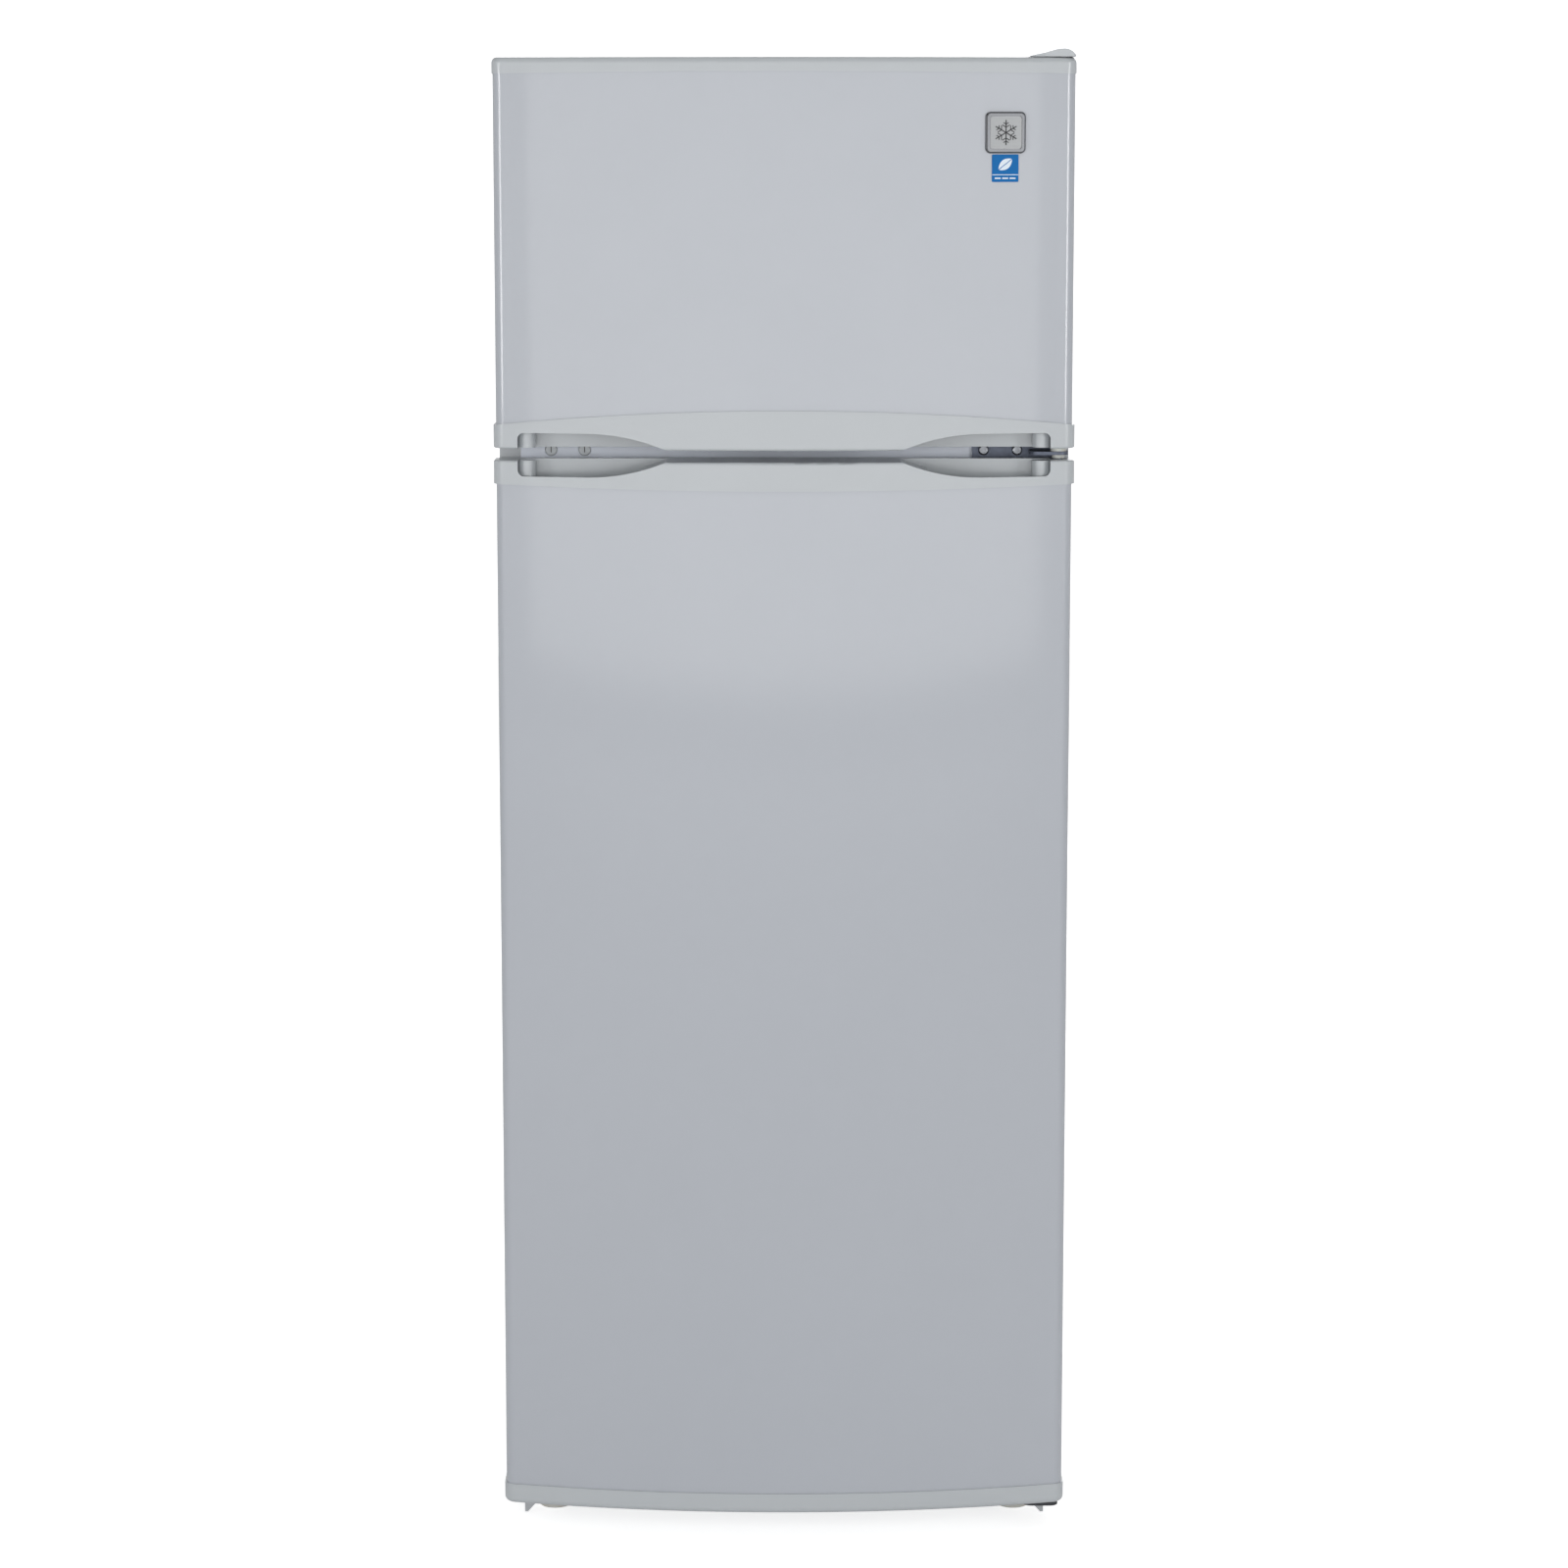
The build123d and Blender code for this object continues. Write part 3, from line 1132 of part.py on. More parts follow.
with BuildPart() as fridge_door_handle_trim:
    add(handle_trim(fridge_door_top, -1, fridge_trim_ends, fridge_trim_middle))
fridge_door_handle_trim.part.label = "fridge_door_handle_trim"
export_step(fridge_door_handle_trim.part, "parts/fridge_door_handle_trim.step")

with BuildPart() as fridge_door_bottom_cap:
    extrude(door_outline(fridge_door_bottom, half_trim - 0.8, door_front, door_back, door_corner + 2),
            amount=bottom_cap_height)
    fillet(fridge_door_bottom_cap.faces().sort_by(Axis.Z)[0].edges(), 6)
    block((-hollow_half, hollow_half), (-252, door_back - shell_wall),
          (fridge_door_bottom + shell_wall, bottom_cap_top + 1), mode=Mode.SUBTRACT)
    rod((hinge_x, hinge_y, fridge_door_bottom - 1), (0, 0, 1), hinge_bore, 16, mode=Mode.SUBTRACT)
fridge_door_bottom_cap.part.label = "fridge_door_bottom_cap"
export_step(fridge_door_bottom_cap.part, "parts/fridge_door_bottom_cap.step")

with BuildPart() as fridge_door_bins:
    for floor in fridge_bins:
        add(door_bin(floor, bottle_bin_height if floor == fridge_bins[0] else bin_height))
fridge_door_bins.part.label = "fridge_door_bins"
export_step(fridge_door_bins.part, "parts/fridge_door_bins.step")
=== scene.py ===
import json
import math

import bmesh
import bpy
from mathutils import Matrix, Vector


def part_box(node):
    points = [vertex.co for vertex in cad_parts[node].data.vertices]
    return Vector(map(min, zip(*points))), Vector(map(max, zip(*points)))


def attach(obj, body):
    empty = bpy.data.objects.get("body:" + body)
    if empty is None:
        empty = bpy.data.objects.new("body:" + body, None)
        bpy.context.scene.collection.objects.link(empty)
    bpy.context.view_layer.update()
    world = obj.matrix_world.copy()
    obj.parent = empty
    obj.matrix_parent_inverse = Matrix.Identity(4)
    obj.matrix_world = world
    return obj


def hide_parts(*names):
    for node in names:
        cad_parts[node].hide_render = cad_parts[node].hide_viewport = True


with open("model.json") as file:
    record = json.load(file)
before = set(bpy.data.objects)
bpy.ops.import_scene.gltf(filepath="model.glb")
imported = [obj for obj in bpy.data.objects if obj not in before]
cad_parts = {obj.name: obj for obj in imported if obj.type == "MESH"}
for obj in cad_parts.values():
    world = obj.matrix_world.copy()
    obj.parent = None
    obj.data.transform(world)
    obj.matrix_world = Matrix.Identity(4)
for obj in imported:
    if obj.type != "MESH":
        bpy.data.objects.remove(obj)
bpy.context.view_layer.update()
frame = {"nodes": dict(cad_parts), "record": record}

nodes = frame["nodes"]
MM = 0.001


# ---------------------------------------------------------------- camera
# The camera stands square in front of the doors, a little under their top, and looks slightly down.
# Distances are in metres, the tilt in degrees and the lens in millimetres.
CAMERA_DISTANCE = 4.306
CAMERA_HEIGHT = 1.372
CAMERA_TILT = 8.82
CAMERA_LENS = 98.232


def make_camera():
    """The camera of the front view."""
    data = bpy.data.cameras.new("camera")
    data.lens = CAMERA_LENS
    data.sensor_width = 36
    data.clip_end = 60
    camera = bpy.data.objects.new("camera", data)
    camera.location = (0, -CAMERA_DISTANCE, CAMERA_HEIGHT)
    camera.rotation_euler = (math.radians(90 - CAMERA_TILT), 0, 0)
    bpy.context.scene.collection.objects.link(camera)
    bpy.context.scene.camera = camera


# ---------------------------------------------------------------- floor, backdrop and light
# The stage throws little light on the object, but is seen as a white sheet. The glows are what the
# object receives, and the backgrounds are what the camera sees.
FLOOR_GLOW = 0.12
WALL_GLOW = 0.26
FLOOR_BACKGROUND = 0.72
WALL_BACKGROUND = 0.90
STAGE_REACH = 9.0
STAGE_HEIGHT = 7.0


def glowing_white(name, glow, background):
    """Pale matt paper that glows faintly, and more strongly where it is looked at directly."""
    material = finish(name, (0.80, 0.80, 0.80), roughness=(0.75, 0.85), shade=0.0,
                      Emission_Color=(1, 1, 1, 1))
    tree = material.node_tree
    rays = tree.nodes.new("ShaderNodeLightPath")
    strength = tree.nodes.new("ShaderNodeMapRange")
    strength.inputs["To Min"].default_value = glow
    strength.inputs["To Max"].default_value = background
    tree.links.new(rays.outputs["Is Camera Ray"], strength.inputs["Value"])
    tree.links.new(strength.outputs["Result"], tree.nodes["Principled BSDF"].inputs["Emission Strength"])
    return material


def make_stage():
    """A pale round floor that sweeps up into a backdrop all the way round."""
    profile = [(0, 0.0), (0.3, 0.0), (0.75, 0.0), (0.88, 0.12), (0.96, 0.6), (1, 1.6), (1, STAGE_HEIGHT)]
    builder = bmesh.new()
    lathe(builder, [(share * STAGE_REACH, height) for share, height in profile], Matrix(), 48)
    bmesh.ops.reverse_faces(builder, faces=builder.faces)
    mesh = bpy.data.meshes.new("studio_floor")
    builder.to_mesh(mesh)
    builder.free()
    floor = bpy.data.objects.new("studio_floor", mesh)
    bpy.context.scene.collection.objects.link(floor)
    mesh.materials.append(glowing_white("studio_floor_white", FLOOR_GLOW, FLOOR_BACKGROUND))
    mesh.materials.append(glowing_white("studio_wall_white", WALL_GLOW, WALL_BACKGROUND))
    for polygon in mesh.polygons:
        polygon.use_smooth = True
        polygon.material_index = int(polygon.center.length > STAGE_REACH * 0.7)


def area_light(name, place, target, size, power):
    """A rectangular white light at a place, aimed at a target."""
    data = bpy.data.lights.new(name, "AREA")
    data.shape = "RECTANGLE"
    data.size, data.size_y = size
    data.energy = power
    light = bpy.data.objects.new(name, data)
    light.location = place
    aim = Vector(target) - Vector(place)
    light.rotation_euler = aim.to_track_quat("-Z", "Y").to_euler()
    bpy.context.scene.collection.objects.link(light)


def make_light():
    """Soft light from above, in front and behind, and a softbox at each side for the doors' edges."""
    world = bpy.data.worlds.new("studio")
    bpy.context.scene.world = world
    world.use_nodes = True
    background = world.node_tree.nodes["Background"]
    background.inputs["Color"].default_value = (0.96, 0.98, 1.0, 1)
    background.inputs["Strength"].default_value = 0.11
    area_light("overhead", (0, -0.6, 4.4), (0, 0, 0), (4.5, 4.5), 38)
    area_light("front_softbox", (0, -5.4, 0.95), (0, 0, 1.0), (6.0, 1.6), 61)
    for side in (-1, 1):
        area_light("side_softbox", (side * 2.41, -2.63, 1.25), (side * 0.26, -0.25, 1.25), (0.7, 0.75), 16)
    area_light("back_fill", (0.8, 4.2, 2.6), (0, 0.2, 0.8), (3.0, 2.4), 60)


# ---------------------------------------------------------------- materials
def finish(name, colour, roughness=(0.35, 0.45), metallic=0.0, shade=0.03, shade_scale=3.0,
           bump=0.0, bump_scale=400.0, second_bump=0.0, second_scale=40.0, coat=0.0, stretch=(1, 1, 1),
           **sockets):
    """A surface whose colour and roughness drift a little, with up to two sizes of relief."""
    material = bpy.data.materials.new(name)
    material.use_nodes = True
    tree = material.node_tree
    link = tree.links.new
    shader = tree.nodes["Principled BSDF"]
    shader.inputs["Metallic"].default_value = metallic
    shader.inputs["Coat Weight"].default_value = coat
    for socket, value in sockets.items():
        shader.inputs[socket.replace("_", " ")].default_value = value
    place = tree.nodes.new("ShaderNodeTexCoord")
    mapping = tree.nodes.new("ShaderNodeMapping")
    mapping.inputs["Scale"].default_value = stretch
    link(place.outputs["Object"], mapping.inputs["Vector"])

    def noise(scale, detail):
        node = tree.nodes.new("ShaderNodeTexNoise")
        node.inputs["Scale"].default_value = scale
        node.inputs["Detail"].default_value = detail
        link(mapping.outputs["Vector"], node.inputs["Vector"])
        return node.outputs["Fac"]

    tint = tree.nodes.new("ShaderNodeMix")
    tint.data_type = "RGBA"
    tint.inputs["A"].default_value = (*[part * (1 - shade) for part in colour], 1)
    tint.inputs["B"].default_value = (*[min(1, part * (1 + shade)) for part in colour], 1)
    link(noise(shade_scale, 4.0), tint.inputs["Factor"])
    link(tint.outputs["Result"], shader.inputs["Base Color"])

    wear = tree.nodes.new("ShaderNodeMapRange")
    wear.inputs["From Min"].default_value = 0.3
    wear.inputs["From Max"].default_value = 0.7
    wear.inputs["To Min"].default_value = roughness[0]
    wear.inputs["To Max"].default_value = roughness[1]
    link(noise(shade_scale * 4, 6.0), wear.inputs["Value"])
    link(wear.outputs["Result"], shader.inputs["Roughness"])

    normal = None
    for strength, scale, distance in ((second_bump, second_scale, 0.8 * MM), (bump, bump_scale, 0.2 * MM)):
        if strength:
            relief = tree.nodes.new("ShaderNodeBump")
            relief.inputs["Strength"].default_value = strength
            relief.inputs["Distance"].default_value = distance
            link(noise(scale, 2.0), relief.inputs["Height"])
            if normal:
                link(normal, relief.inputs["Normal"])
            normal = relief.outputs["Normal"]
    if normal:
        link(normal, shader.inputs["Normal"])
    return material


def make_finishes():
    """One finish for each material slot of the record."""
    return {
        "door_paint": finish("door_paint", (0.424, 0.446, 0.486), (0.30, 0.36), shade=0.012, bump=0.10,
                             bump_scale=700, second_bump=0.03, second_scale=60, coat=0.7,
                             Coat_Roughness=0.08),
        "cabinet_paint": finish("cabinet_paint", (0.470, 0.488, 0.508), (0.42, 0.52), shade=0.02, bump=0.35,
                                bump_scale=330, second_bump=0.10, second_scale=120),
        # The rail's paint is a lighter copy of the cabinet's paint. It is painted light that brightens the
        # rail in the shaded gap between the doors.
        "rail_paint": finish("rail_paint", (0.74, 0.78, 0.86), (0.38, 0.48), bump=0.1),
        "trim_plastic": finish("trim_plastic", (0.460, 0.486, 0.506), (0.28, 0.36), shade=0.012, bump=0.10,
                               bump_scale=900, coat=0.3, Coat_Roughness=0.10),
        "liner_plastic": finish("liner_plastic", (0.70, 0.72, 0.72), (0.20, 0.28), shade=0.01, bump=0.06,
                                bump_scale=160, second_bump=0.03, second_scale=18),
        "bin_plastic": finish("bin_plastic", (0.60, 0.64, 0.67), (0.24, 0.32), shade=0.01, bump=0.06),
        "clear_plastic": finish("clear_plastic", (0.86, 0.93, 0.96), (0.05, 0.12), shade=0.01, bump=0.03,
                                bump_scale=60, Transmission_Weight=0.85, IOR=1.49),
        "shelf_glass": finish("shelf_glass", (0.82, 0.94, 0.90), (0.0, 0.04), shade=0.01,
                              Transmission_Weight=1.0, IOR=1.5),
        "lens_plastic": finish("lens_plastic", (0.92, 0.93, 0.90), (0.40, 0.50), shade=0.01, bump=0.2,
                               bump_scale=500, Transmission_Weight=0.6, IOR=1.49),
        "lamp_glass": finish("lamp_glass", (0.96, 0.94, 0.86), (0.30, 0.38), shade=0.01,
                             Transmission_Weight=0.3, IOR=1.5),
        "foam": finish("foam", (0.80, 0.68, 0.38), (0.85, 0.95), shade=0.10, shade_scale=40, bump=0.6,
                       bump_scale=500),
        "gasket": finish("gasket", (0.52, 0.54, 0.56), (0.48, 0.60), shade=0.03, bump=0.15),
        "rubber": finish("rubber", (0.03, 0.03, 0.03), (0.65, 0.80), shade=0.15, bump=0.3),
        "nylon": finish("nylon", (0.66, 0.65, 0.60), (0.40, 0.50), shade=0.03, bump=0.1,
                        Subsurface_Weight=0.08),
        "black_plastic": finish("black_plastic", (0.028, 0.028, 0.030), (0.42, 0.55), shade=0.10, bump=0.25),
        "zinc_steel": finish("zinc_steel", (0.24, 0.25, 0.27), (0.28, 0.44), metallic=1.0, shade=0.07,
                             shade_scale=60, bump=0.12, bump_scale=300),
        "hinge_steel": finish("hinge_steel", (0.12, 0.135, 0.175), (0.40, 0.54), metallic=0.7, shade=0.10,
                              shade_scale=60, bump=0.12, bump_scale=300),
        "dark_steel": finish("dark_steel", (0.05, 0.052, 0.058), (0.42, 0.58), metallic=0.6, shade=0.15,
                             shade_scale=50, bump=0.2),
        "galvanised_steel": finish("galvanised_steel", (0.56, 0.58, 0.60), (0.34, 0.52), metallic=1.0,
                                   shade=0.14, shade_scale=90, bump=0.10, bump_scale=120),
        "back_panel_steel": finish("back_panel_steel", (0.56, 0.58, 0.60), (0.42, 0.55), metallic=0.3,
                                   shade=0.03, bump=0.12, bump_scale=240),
        "compressor_paint": finish("compressor_paint", (0.018, 0.018, 0.020), (0.18, 0.30), shade=0.1,
                                   bump=0.2, bump_scale=160, coat=0.5),
        "condenser_paint": finish("condenser_paint", (0.022, 0.022, 0.024), (0.34, 0.48), shade=0.1,
                                  bump=0.15),
        "copper": finish("copper", (0.80, 0.42, 0.27), (0.22, 0.40), metallic=1.0, shade=0.16,
                         shade_scale=50, bump=0.1),
        "aluminium": finish("aluminium", (0.80, 0.81, 0.82), (0.28, 0.40), metallic=1.0, shade=0.05,
                            shade_scale=60, bump=0.1),
        "coated_wire": finish("coated_wire", (0.80, 0.82, 0.82), (0.26, 0.36), shade=0.01, bump=0.08),
        "badge_chrome": finish("badge_chrome", (0.17, 0.175, 0.185), (0.16, 0.24), metallic=1.0, shade=0.02),
        "label_film": finish("label_film", (0.0, 0.135, 0.41), (0.42, 0.5), shade=0.03, bump=0.04,
                             Specular_IOR_Level=0.2),
    }


# ---------------------------------------------------------------- helpers for the added pieces
def place_at(point, normal, up=(0, 0, 1)):
    """A matrix at a point whose Z looks along a normal and whose Y stays as upright as it can."""
    z = Vector(normal).normalized()
    x = Vector(up).cross(z).normalized()
    matrix = Matrix((x, z.cross(x), z)).transposed().to_4x4()
    matrix.translation = Vector(point)
    return matrix


def flat_face(node, towards):
    """Centre, normal and area of the largest flat face of a CAD node that looks one way."""
    found = {}
    for polygon in nodes[node].data.polygons:
        if polygon.normal.dot(Vector(towards)) > 0.9:
            depth = round(polygon.center.dot(polygon.normal) / (0.05 * MM))
            key = (*[round(c, 3) for c in polygon.normal], depth)
            entry = found.setdefault(key, [0.0, Vector(), polygon.normal.copy()])
            entry[0] += polygon.area
            entry[1] += polygon.center * polygon.area
    area, moment, normal = max(found.values(), key=lambda entry: entry[0])
    return moment / area, normal, area


def prism(builder, outline, place, low, high, bevel=0.0):
    """A plate of a closed outline between two heights over a plane, its top edge softened."""
    rings = [[builder.verts.new(place @ Vector((x, y, height))) for x, y in outline]
             for height in (low, high)]
    builder.faces.new(list(reversed(rings[0])))
    top = builder.faces.new(rings[1])
    for step in range(len(outline)):
        after = (step + 1) % len(outline)
        builder.faces.new((rings[0][step], rings[0][after], rings[1][after], rings[1][step]))
    if bevel:
        bmesh.ops.bevel(builder, geom=list(top.edges), offset=bevel, segments=2, affect="EDGES")


def bar(builder, place, size, bevel):
    """A small bar centred on a plane's origin, with all its edges softened."""
    made = bmesh.ops.create_cube(builder, size=1.0, matrix=place @ Matrix.Diagonal((*size, 1.0)))
    edges = {edge for vertex in made["verts"] for edge in vertex.link_edges}
    bmesh.ops.bevel(builder, geom=list(edges), offset=bevel, segments=2, affect="EDGES")


def lathe(builder, profile, place, segments=24):
    """A turned shape from radius and height pairs; a radius of zero closes an end."""
    rings = []
    for radius, height in profile:
        ring = []
        for step in range(segments if radius else 1):
            turn = 2 * math.pi * step / segments
            point = Vector((radius * math.cos(turn), radius * math.sin(turn), height))
            ring.append(builder.verts.new(place @ point))
        rings.append(ring)
    for lower, upper in zip(rings, rings[1:]):
        for step in range(segments):
            after = (step + 1) % segments
            corners = [lower[step % len(lower)], lower[after % len(lower)],
                       upper[after % len(upper)], upper[step % len(upper)]]
            builder.faces.new(list(dict.fromkeys(corners)))


def join_rings(builder, rings):
    """Close a tube over its rings of points, from each ring to the next and from the last to the first."""
    for ring, after_ring in zip(rings, rings[1:] + rings[:1]):
        for step in range(len(ring)):
            after = (step + 1) % len(ring)
            builder.faces.new((ring[step], ring[after], after_ring[after], after_ring[step]))


def rounded_square(half_width, half_height, corner, steps=6):
    """The outline of a rectangle with round corners, about the origin."""
    points = []
    for quarter in range(4):
        centre_x = (half_width - corner) * (1 if quarter in (0, 3) else -1)
        centre_y = (half_height - corner) * (1 if quarter in (0, 1) else -1)
        for step in range(steps + 1):
            turn = math.pi / 2 * (quarter + step / steps)
            points.append((centre_x + corner * math.cos(turn), centre_y + corner * math.sin(turn)))
    return points


def stroke(builder, place, start, end, width, floor):
    """One raised line of a drawing, from one point of a plane to another, over the plane's floor."""
    run = Vector(end) - Vector(start)
    across = Vector((-run.y, run.x)).normalized() * width / 2
    along = run.normalized() * width / 2
    corners = [Vector(start) - along + across, Vector(start) - along - across,
               Vector(end) + along - across, Vector(end) + along + across]
    prism(builder, [(c.x, c.y) for c in corners], place, floor - 0.1 * MM, floor + 0.25 * MM, 0.06 * MM)


def numeral(builder, text, size, place):
    """One raised number, laid on a plane."""
    curve = bpy.data.curves.new("numeral", "FONT")
    curve.body = text
    curve.size = size
    curve.align_x = "CENTER"
    curve.align_y = "CENTER"
    curve.extrude = 0.12 * MM
    carrier = bpy.data.objects.new("numeral", curve)
    bpy.context.scene.collection.objects.link(carrier)
    mesh = bpy.data.meshes.new_from_object(carrier)
    mesh.transform(place)
    builder.from_mesh(mesh)
    bpy.data.objects.remove(carrier)
    bpy.data.curves.remove(curve)
    bpy.data.meshes.remove(mesh)


def add_piece(name, builder, slot, body, smooth=False, look=None):
    """Turn the mesh under construction into a piece that rides on a body."""
    bmesh.ops.recalc_face_normals(builder, faces=builder.faces)
    mesh = bpy.data.meshes.new(name)
    builder.to_mesh(mesh)
    builder.free()
    for polygon in mesh.polygons:
        polygon.use_smooth = smooth
    piece = bpy.data.objects.new(name, mesh)
    bpy.context.scene.collection.objects.link(piece)
    mesh.materials.append(look or finishes[slot])
    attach(piece, body)
    return piece


def soften(piece, width):
    """Round a piece's edges by a small bevel."""
    bevel = piece.modifiers.new("soften", "BEVEL")
    bevel.width = width
    bevel.segments = 2
    bevel.limit_method = "ANGLE"
    bevel.angle_limit = math.radians(25)


# ---------------------------------------------------------------- badge and label
def make_badge():
    """A brushed plate in the badge's frame, with a plain snowflake on it."""
    centre, normal, area = flat_face("badge_frame", (0, -1, 0))
    place = place_at(centre, normal)
    clearance = 0.15 * MM
    half = math.sqrt(area) / 2 - clearance
    plate_top = 0.8 * MM
    builder = bmesh.new()
    prism(builder, rounded_square(half, half, 2.3 * MM), place, -0.1 * MM, plate_top, 0.3 * MM)
    brushed = finish("brushed_plate", (0.40, 0.41, 0.42), (0.42, 0.52), metallic=0.2, shade=0.05,
                     shade_scale=900, stretch=(0.06, 0.06, 1), bump=0.12, bump_scale=1800)
    add_piece("badge_plate", builder, "aluminium", "freezer_door", look=brushed)

    builder = bmesh.new()
    reach = half * 0.74
    for arm in range(6):
        spoke = place @ Matrix.Rotation(math.radians(60 * arm + 30), 4, "Z")
        stroke(builder, spoke, (0, 0), (reach, 0), 1.0 * MM, plate_top)
        for start, length in ((0.45 * reach, 0.34 * reach), (0.70 * reach, 0.22 * reach)):
            for side in (-1, 1):
                tip = (start + length * 0.5, side * length * 0.87)
                stroke(builder, spoke, (start, 0), tip, 0.8 * MM, plate_top)
    add_piece("badge_snowflake", builder, "black_plastic", "freezer_door")


def make_label():
    """A plain leaf over a line and three dashes, in white film on the blue label."""
    centre, normal, area = flat_face("door_label", (0, -1, 0))
    place = place_at(centre, normal)
    half = math.sqrt(area) / 2
    film = 0.08 * MM
    builder = bmesh.new()
    leaf = place @ Matrix.Translation((0, half * 0.28, 0)) @ Matrix.Rotation(math.radians(38), 4, "Z")
    length = half * 0.62
    width = half * 0.33
    rib = 0.35 * MM
    steps = 14
    for side in (-1, 1):
        rim = []
        for step in range(steps + 1):
            t = step / steps
            rim.append((length * (2 * t - 1), side * (rib + width * math.sin(math.pi * t) ** 0.8)))
        prism(builder, rim, leaf, -film, film)
    rule = (-0.98, 0.98, -0.50, -0.45)
    dashes = [(-0.78 + 0.56 * dash, -0.34 + 0.56 * dash, -0.78, -0.68) for dash in range(3)]
    for left, right, low, high in (rule, *dashes):
        outline = [(left, low), (right, low), (right, high), (left, high)]
        prism(builder, [(x * half, y * half) for x, y in outline], place, -film, film)
    white = finish("label_print", (0.72, 0.80, 0.88), (0.35, 0.45), shade=0.02)
    add_piece("label_leaf", builder, "label_film", "freezer_door", look=white)


# ---------------------------------------------------------------- thermostat dial
def make_dial():
    """Numbers and ticks on the knob's skirt, a line on its grip and a pointer on the housing."""
    low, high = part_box("thermostat_knob")
    centre = Vector(((low.x + high.x) / 2, 0, (low.z + high.z) / 2))
    radius = (high.x - low.x) / 2
    skirt = flat_face("thermostat_knob", (0, -1, 0))[0].y
    ink = finish("dial_ink", (0.05, 0.09, 0.20), (0.45, 0.55), shade=0.05)
    builder = bmesh.new()
    place = place_at((centre.x, skirt, centre.z), (0, -1, 0))
    for number in range(6):
        side = 1 if number < 3 else -1
        turn = math.radians(45 + 45 * (number % 3))
        spot = (side * radius * 0.66 * math.sin(turn), side * radius * 0.66 * math.cos(turn), 0)
        numeral(builder, str(number + 1), 5.0 * MM, place @ Matrix.Translation(spot))
    tick_inner = radius * 0.85
    tick_outer = radius * 0.92
    half_tick = 0.2 * MM
    for step in range(24):
        if 1 < step % 12 < 11:
            tick = place @ Matrix.Rotation(2 * math.pi * step / 24 + math.pi / 2, 4, "Z")
            prism(builder, [(tick_inner, -half_tick), (tick_outer, -half_tick),
                            (tick_outer, half_tick), (tick_inner, half_tick)], tick, -0.05 * MM, 0.12 * MM)
    grip = place_at((centre.x, low.y, centre.z), (0, -1, 0)) @ Matrix.Translation((0, radius * 0.42, 0))
    prism(builder, rounded_square(0.5 * MM, radius * 0.3, 0.4 * MM), grip, -0.1 * MM, 0.0)
    add_piece("dial_numbers", builder, "black_plastic", "thermostat", look=ink)

    builder = bmesh.new()
    housing, normal, _ = flat_face("control_housing", (0, -1, 0))
    pointer = place_at((centre.x, housing.y, centre.z + radius + 3.5 * MM), normal)
    prism(builder, [(0, -1.8 * MM), (1.5 * MM, 1.4 * MM), (-1.5 * MM, 1.4 * MM)], pointer,
          -0.1 * MM, 0.3 * MM, 0.08 * MM)
    add_piece("dial_pointer", builder, "black_plastic", "cabinet", look=ink)


# ---------------------------------------------------------------- screws and plugs
def make_screws():
    """Pan-head screws of the back panel and the evaporator cover, with cross recesses."""
    heads = bmesh.new()
    recesses = bmesh.new()
    places = []
    panel, outwards, _ = flat_face("cabinet_back_panel", (0, 1, 0))
    panel_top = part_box("cabinet_back_panel")[1]
    span = panel_top.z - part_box("drain_pan")[1].z - 70 * MM
    rows = 7
    for side in (-1, 1):
        for row in range(rows):
            height = panel.z + (row / (rows - 1) - 0.5) * span
            places.append(((side * (panel_top.x - 9 * MM), panel.y, height), outwards))
    cover, inwards, _ = flat_face("evaporator_cover", (0, -1, 0))
    low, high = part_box("evaporator_cover")
    for side in (-1, 1):
        for height in (low.z + 34 * MM, high.z - 34 * MM):
            places.append(((side * (high.x - 26 * MM), cover.y, height), inwards))
    head = [(0, -0.2), (4.2, -0.2), (4.2, 0.8), (3.9, 1.6), (2.9, 2.1), (1.5, 2.35), (0, 2.4)]
    head = [(radius * MM, height * MM) for radius, height in head]
    for turn, (point, normal) in enumerate(places):
        place = place_at(point, normal) @ Matrix.Rotation(0.7 * turn, 4, "Z")
        lathe(heads, head, place)
        for quarter in (0, 90):
            arm = place @ Matrix.Rotation(math.radians(quarter), 4, "Z")
            prism(recesses, rounded_square(2.1 * MM, 0.45 * MM, 0.2 * MM, 2), arm, 1.9 * MM, 2.45 * MM)
    add_piece("panel_screws", heads, "zinc_steel", "cabinet", smooth=True)
    add_piece("panel_screw_recesses", recesses, "black_plastic", "cabinet")


def make_plug_slits():
    """The short slit in each plug that fills a spare hinge hole."""
    low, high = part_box("hinge_hole_plugs")
    plug_radius = (high.z - low.z) / 2
    builder = bmesh.new()
    for x in (low.x + plug_radius, high.x - plug_radius):
        place = place_at((x, low.y, (low.z + high.z) / 2 + 0.5 * MM), (0, -1, 0))
        prism(builder, rounded_square(0.45 * MM, 3.0 * MM, 0.3 * MM, 3), place, -0.4 * MM, 0.06 * MM)
    add_piece("plug_slits", builder, "black_plastic", "cabinet")


# ---------------------------------------------------------------- condenser wires
def make_condenser_wires():
    """The close rows of thin wires welded to both sides of the condenser's tube."""
    low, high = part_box("condenser_wires")
    radius = 0.75 * MM
    pitch = 6.0 * MM
    count = int((high.x - low.x - 2 * radius) / pitch) + 1
    first = -(count - 1) * pitch / 2
    length = high.z - low.z
    wire = [(0, 0), (radius, 0.2 * MM), (radius, length - 0.2 * MM), (0, length)]
    builder = bmesh.new()
    for y in (low.y + radius, high.y - radius):
        for step in range(count):
            lathe(builder, wire, place_at((first + step * pitch, y, low.z), (0, 0, 1), up=(0, 1, 0)), 8)
    wires = add_piece("condenser_wire_rows", builder, "condenser_paint", "cabinet", smooth=True)
    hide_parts("condenser_wires")


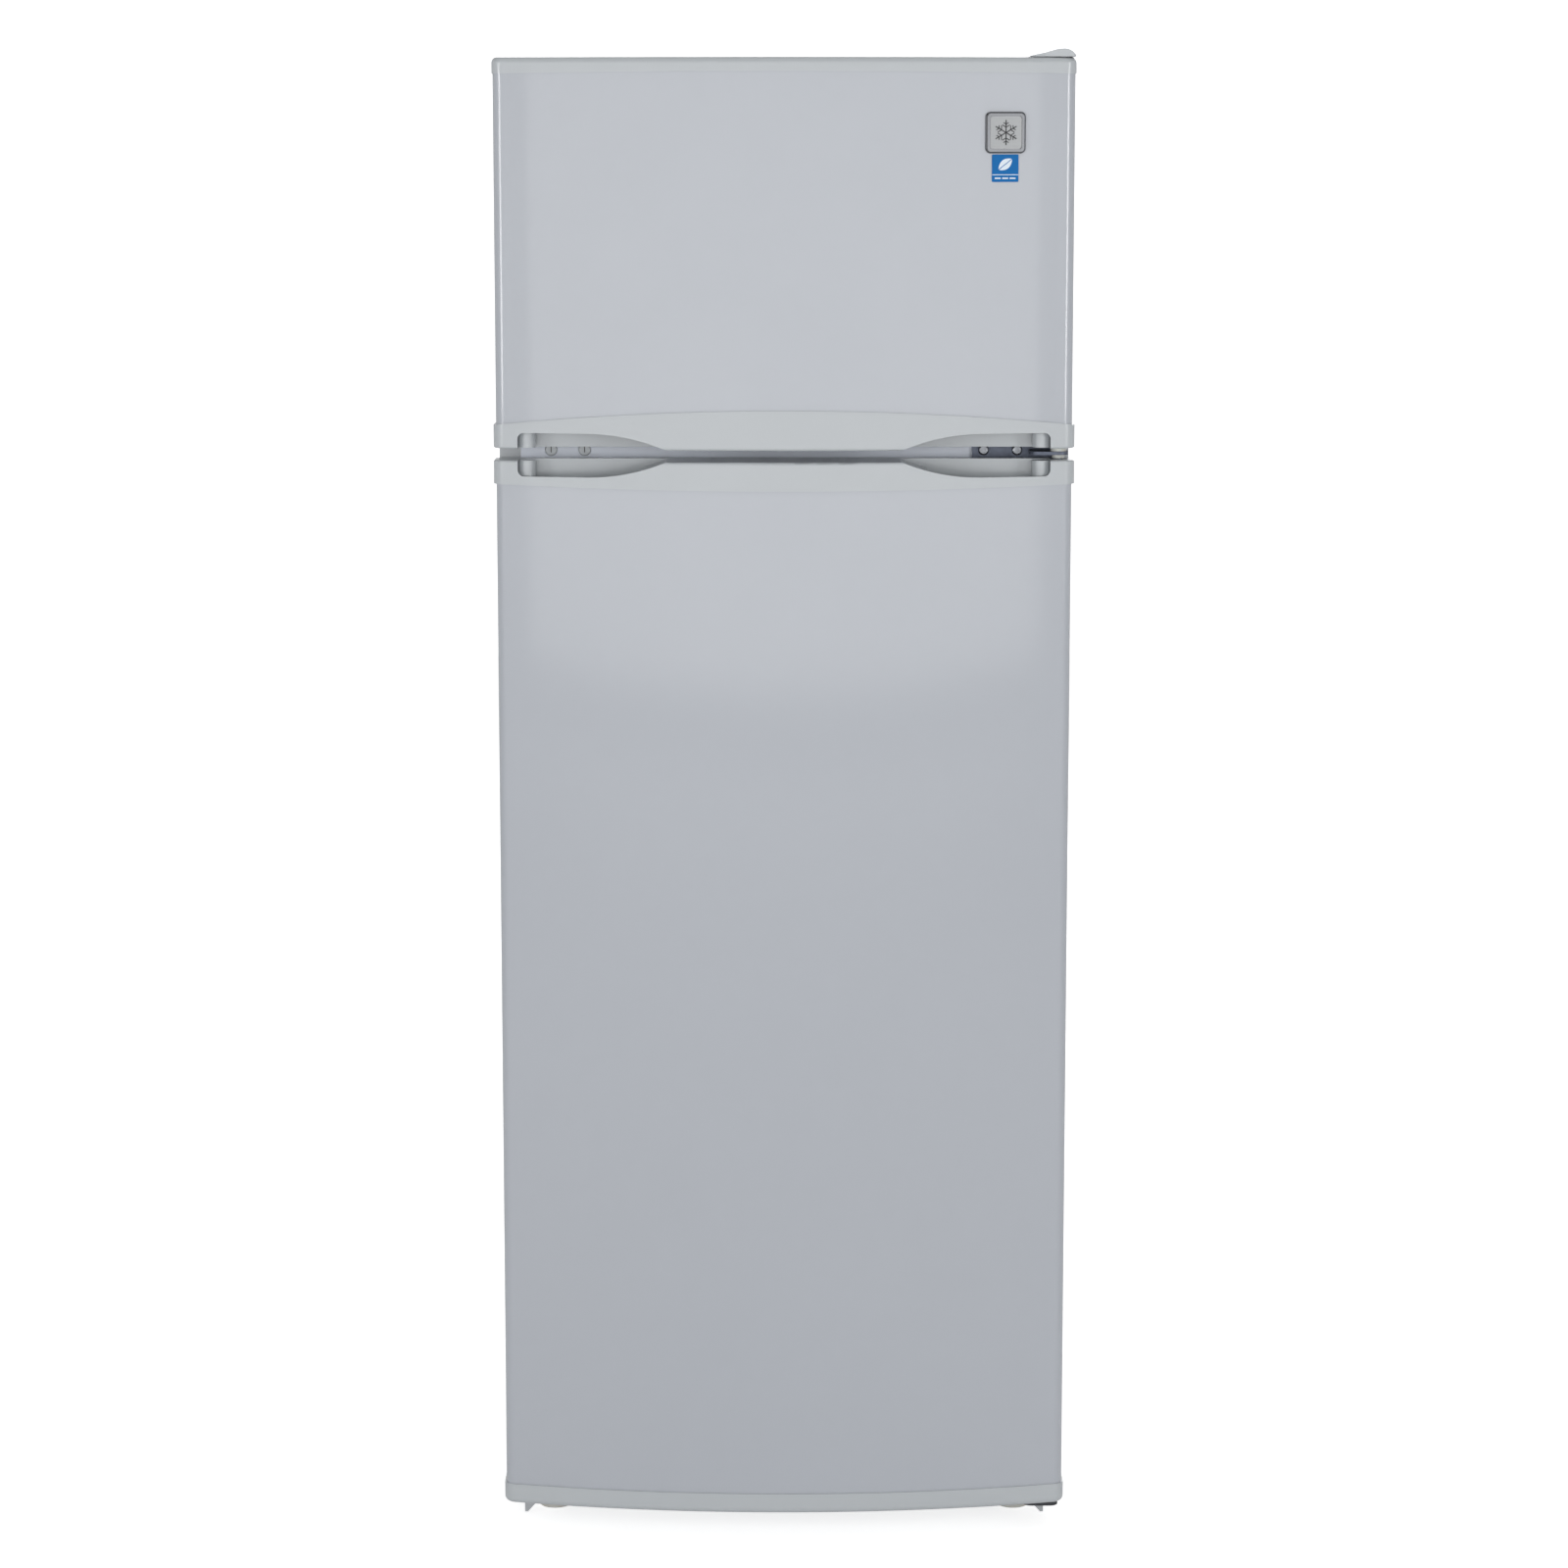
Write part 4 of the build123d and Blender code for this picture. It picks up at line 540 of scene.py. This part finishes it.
# ---------------------------------------------------------------- door gaskets
def make_gasket(node, body):
    """A soft gasket with a flat magnet face, a folded bellows and mitred corners."""
    low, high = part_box(node)
    depth = high.y - low.y
    width = 15 * MM
    # Half of the section, as shares of the width and the depth, from the face to the door's panel.
    fold = [(0.26, 0.0), (0.24, 0.10), (0.36, 0.20), (0.22, 0.32), (0.36, 0.44), (0.20, 0.54),
            (0.08, 0.60), (0.03, 0.72), (0.02, 0.88), (0.06, 0.98), (0.12, 1.0)]
    section = fold + [(1 - across, along) for across, along in reversed(fold)]
    builder = bmesh.new()
    corners = []
    for side_x, side_z in ((-1, -1), (1, -1), (1, 1), (-1, 1)):
        ring = []
        for across, along in section:
            x = (high.x if side_x > 0 else low.x) - side_x * across * width
            z = (high.z if side_z > 0 else low.z) - side_z * across * width
            ring.append(builder.verts.new((x, low.y + along * depth, z)))
        corners.append(ring)
    join_rings(builder, corners)
    gasket = add_piece(f"{body}_bellows_gasket", builder, "gasket", body)
    soften(gasket, 0.5 * MM)
    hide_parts(node)


# ---------------------------------------------------------------- rims of the door bins
def make_bin_rims(node, body, openings):
    """A rolled bead along the top edge of each bin of a door."""
    low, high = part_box(node)
    bead = 1.7 * MM
    edge_over_opening = 6 * MM
    inset = 0.9 * MM
    corner = 24 * MM
    upright = Vector((0, 0, 1))
    turns = [2 * math.pi * step / 8 for step in range(8)]
    outline = rounded_square((high.x - low.x) / 2 - inset, (high.y - low.y) / 2 - inset, corner, 8)
    builder = bmesh.new()
    for opening in openings:
        top = opening["box_m"][1][2] + edge_over_opening - bead
        centre = Vector(((low.x + high.x) / 2, (low.y + high.y) / 2, top))
        rings = []
        for step, spot in enumerate(outline):
            before = Vector(outline[step - 1])
            ahead = Vector(outline[(step + 1) % len(outline)])
            run = (ahead - before).normalized()
            out = Vector((run.y, -run.x, 0))
            point = centre + Vector((*spot, 0))
            ring = [point + bead * (math.cos(turn) * out + math.sin(turn) * upright) for turn in turns]
            rings.append([builder.verts.new(place) for place in ring])
        join_rings(builder, rings)
    add_piece(f"{body}_bin_rims", builder, "bin_plastic", body, smooth=True)


# ---------------------------------------------------------------- air outlet of the fridge compartment
def make_air_outlet():
    """A louvred outlet on the back wall, where cold air comes down from the freezer."""
    wall_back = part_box("fridge_liner")[1].y
    builder = bmesh.new()
    half_width = 78 * MM
    half_height = 24 * MM
    depth = 7 * MM
    rail = 5 * MM
    centre = place_at((0, wall_back - 2 * MM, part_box("control_housing")[0].z - 75 * MM), (0, -1, 0))
    for side in (-1, 1):
        bar(builder, centre @ Matrix.Translation((0, side * (half_height - rail / 2), depth / 2)),
            (2 * half_width, rail, depth), 1.2 * MM)
        bar(builder, centre @ Matrix.Translation((side * (half_width - rail / 2), 0, depth / 2)),
            (rail, 2 * half_height - rail, depth), 1.2 * MM)
    tilt = Matrix.Rotation(math.radians(35), 4, "X")
    for row in range(5):
        rise = (row - 2) * 8 * MM
        bar(builder, centre @ Matrix.Translation((0, rise, depth * 0.45)) @ tilt,
            (2 * half_width - rail, 1.6 * MM, 6.5 * MM), 0.5 * MM)
    add_piece("air_outlet", builder, "liner_plastic", "cabinet")


# ---------------------------------------------------------------- putting it together
make_camera()
finishes = make_finishes()
slot_of = {entry["node"]: entry["material_slot"] for entry in frame["record"]["subparts"]}
for name, node in nodes.items():
    node.data.materials.clear()
    node.data.materials.append(finishes[slot_of[name]])
make_badge()
make_label()
make_dial()
make_screws()
make_plug_slits()
make_condenser_wires()
make_gasket("freezer_door_gasket", "freezer_door")
make_gasket("fridge_door_gasket", "fridge_door")
bin_openings = [entry for entry in frame["record"]["physics"]["openings"] if "bin_inside" in entry["name"]]
freezer_openings = [entry for entry in bin_openings if "freezer" in entry["name"]]
fridge_openings = [entry for entry in bin_openings if "freezer" not in entry["name"]]
make_bin_rims("freezer_door_bins", "freezer_door", freezer_openings)
make_bin_rims("fridge_door_bins", "fridge_door", fridge_openings)
make_air_outlet()
make_stage()
make_light()
bpy.context.scene.view_settings.view_transform = "Standard"
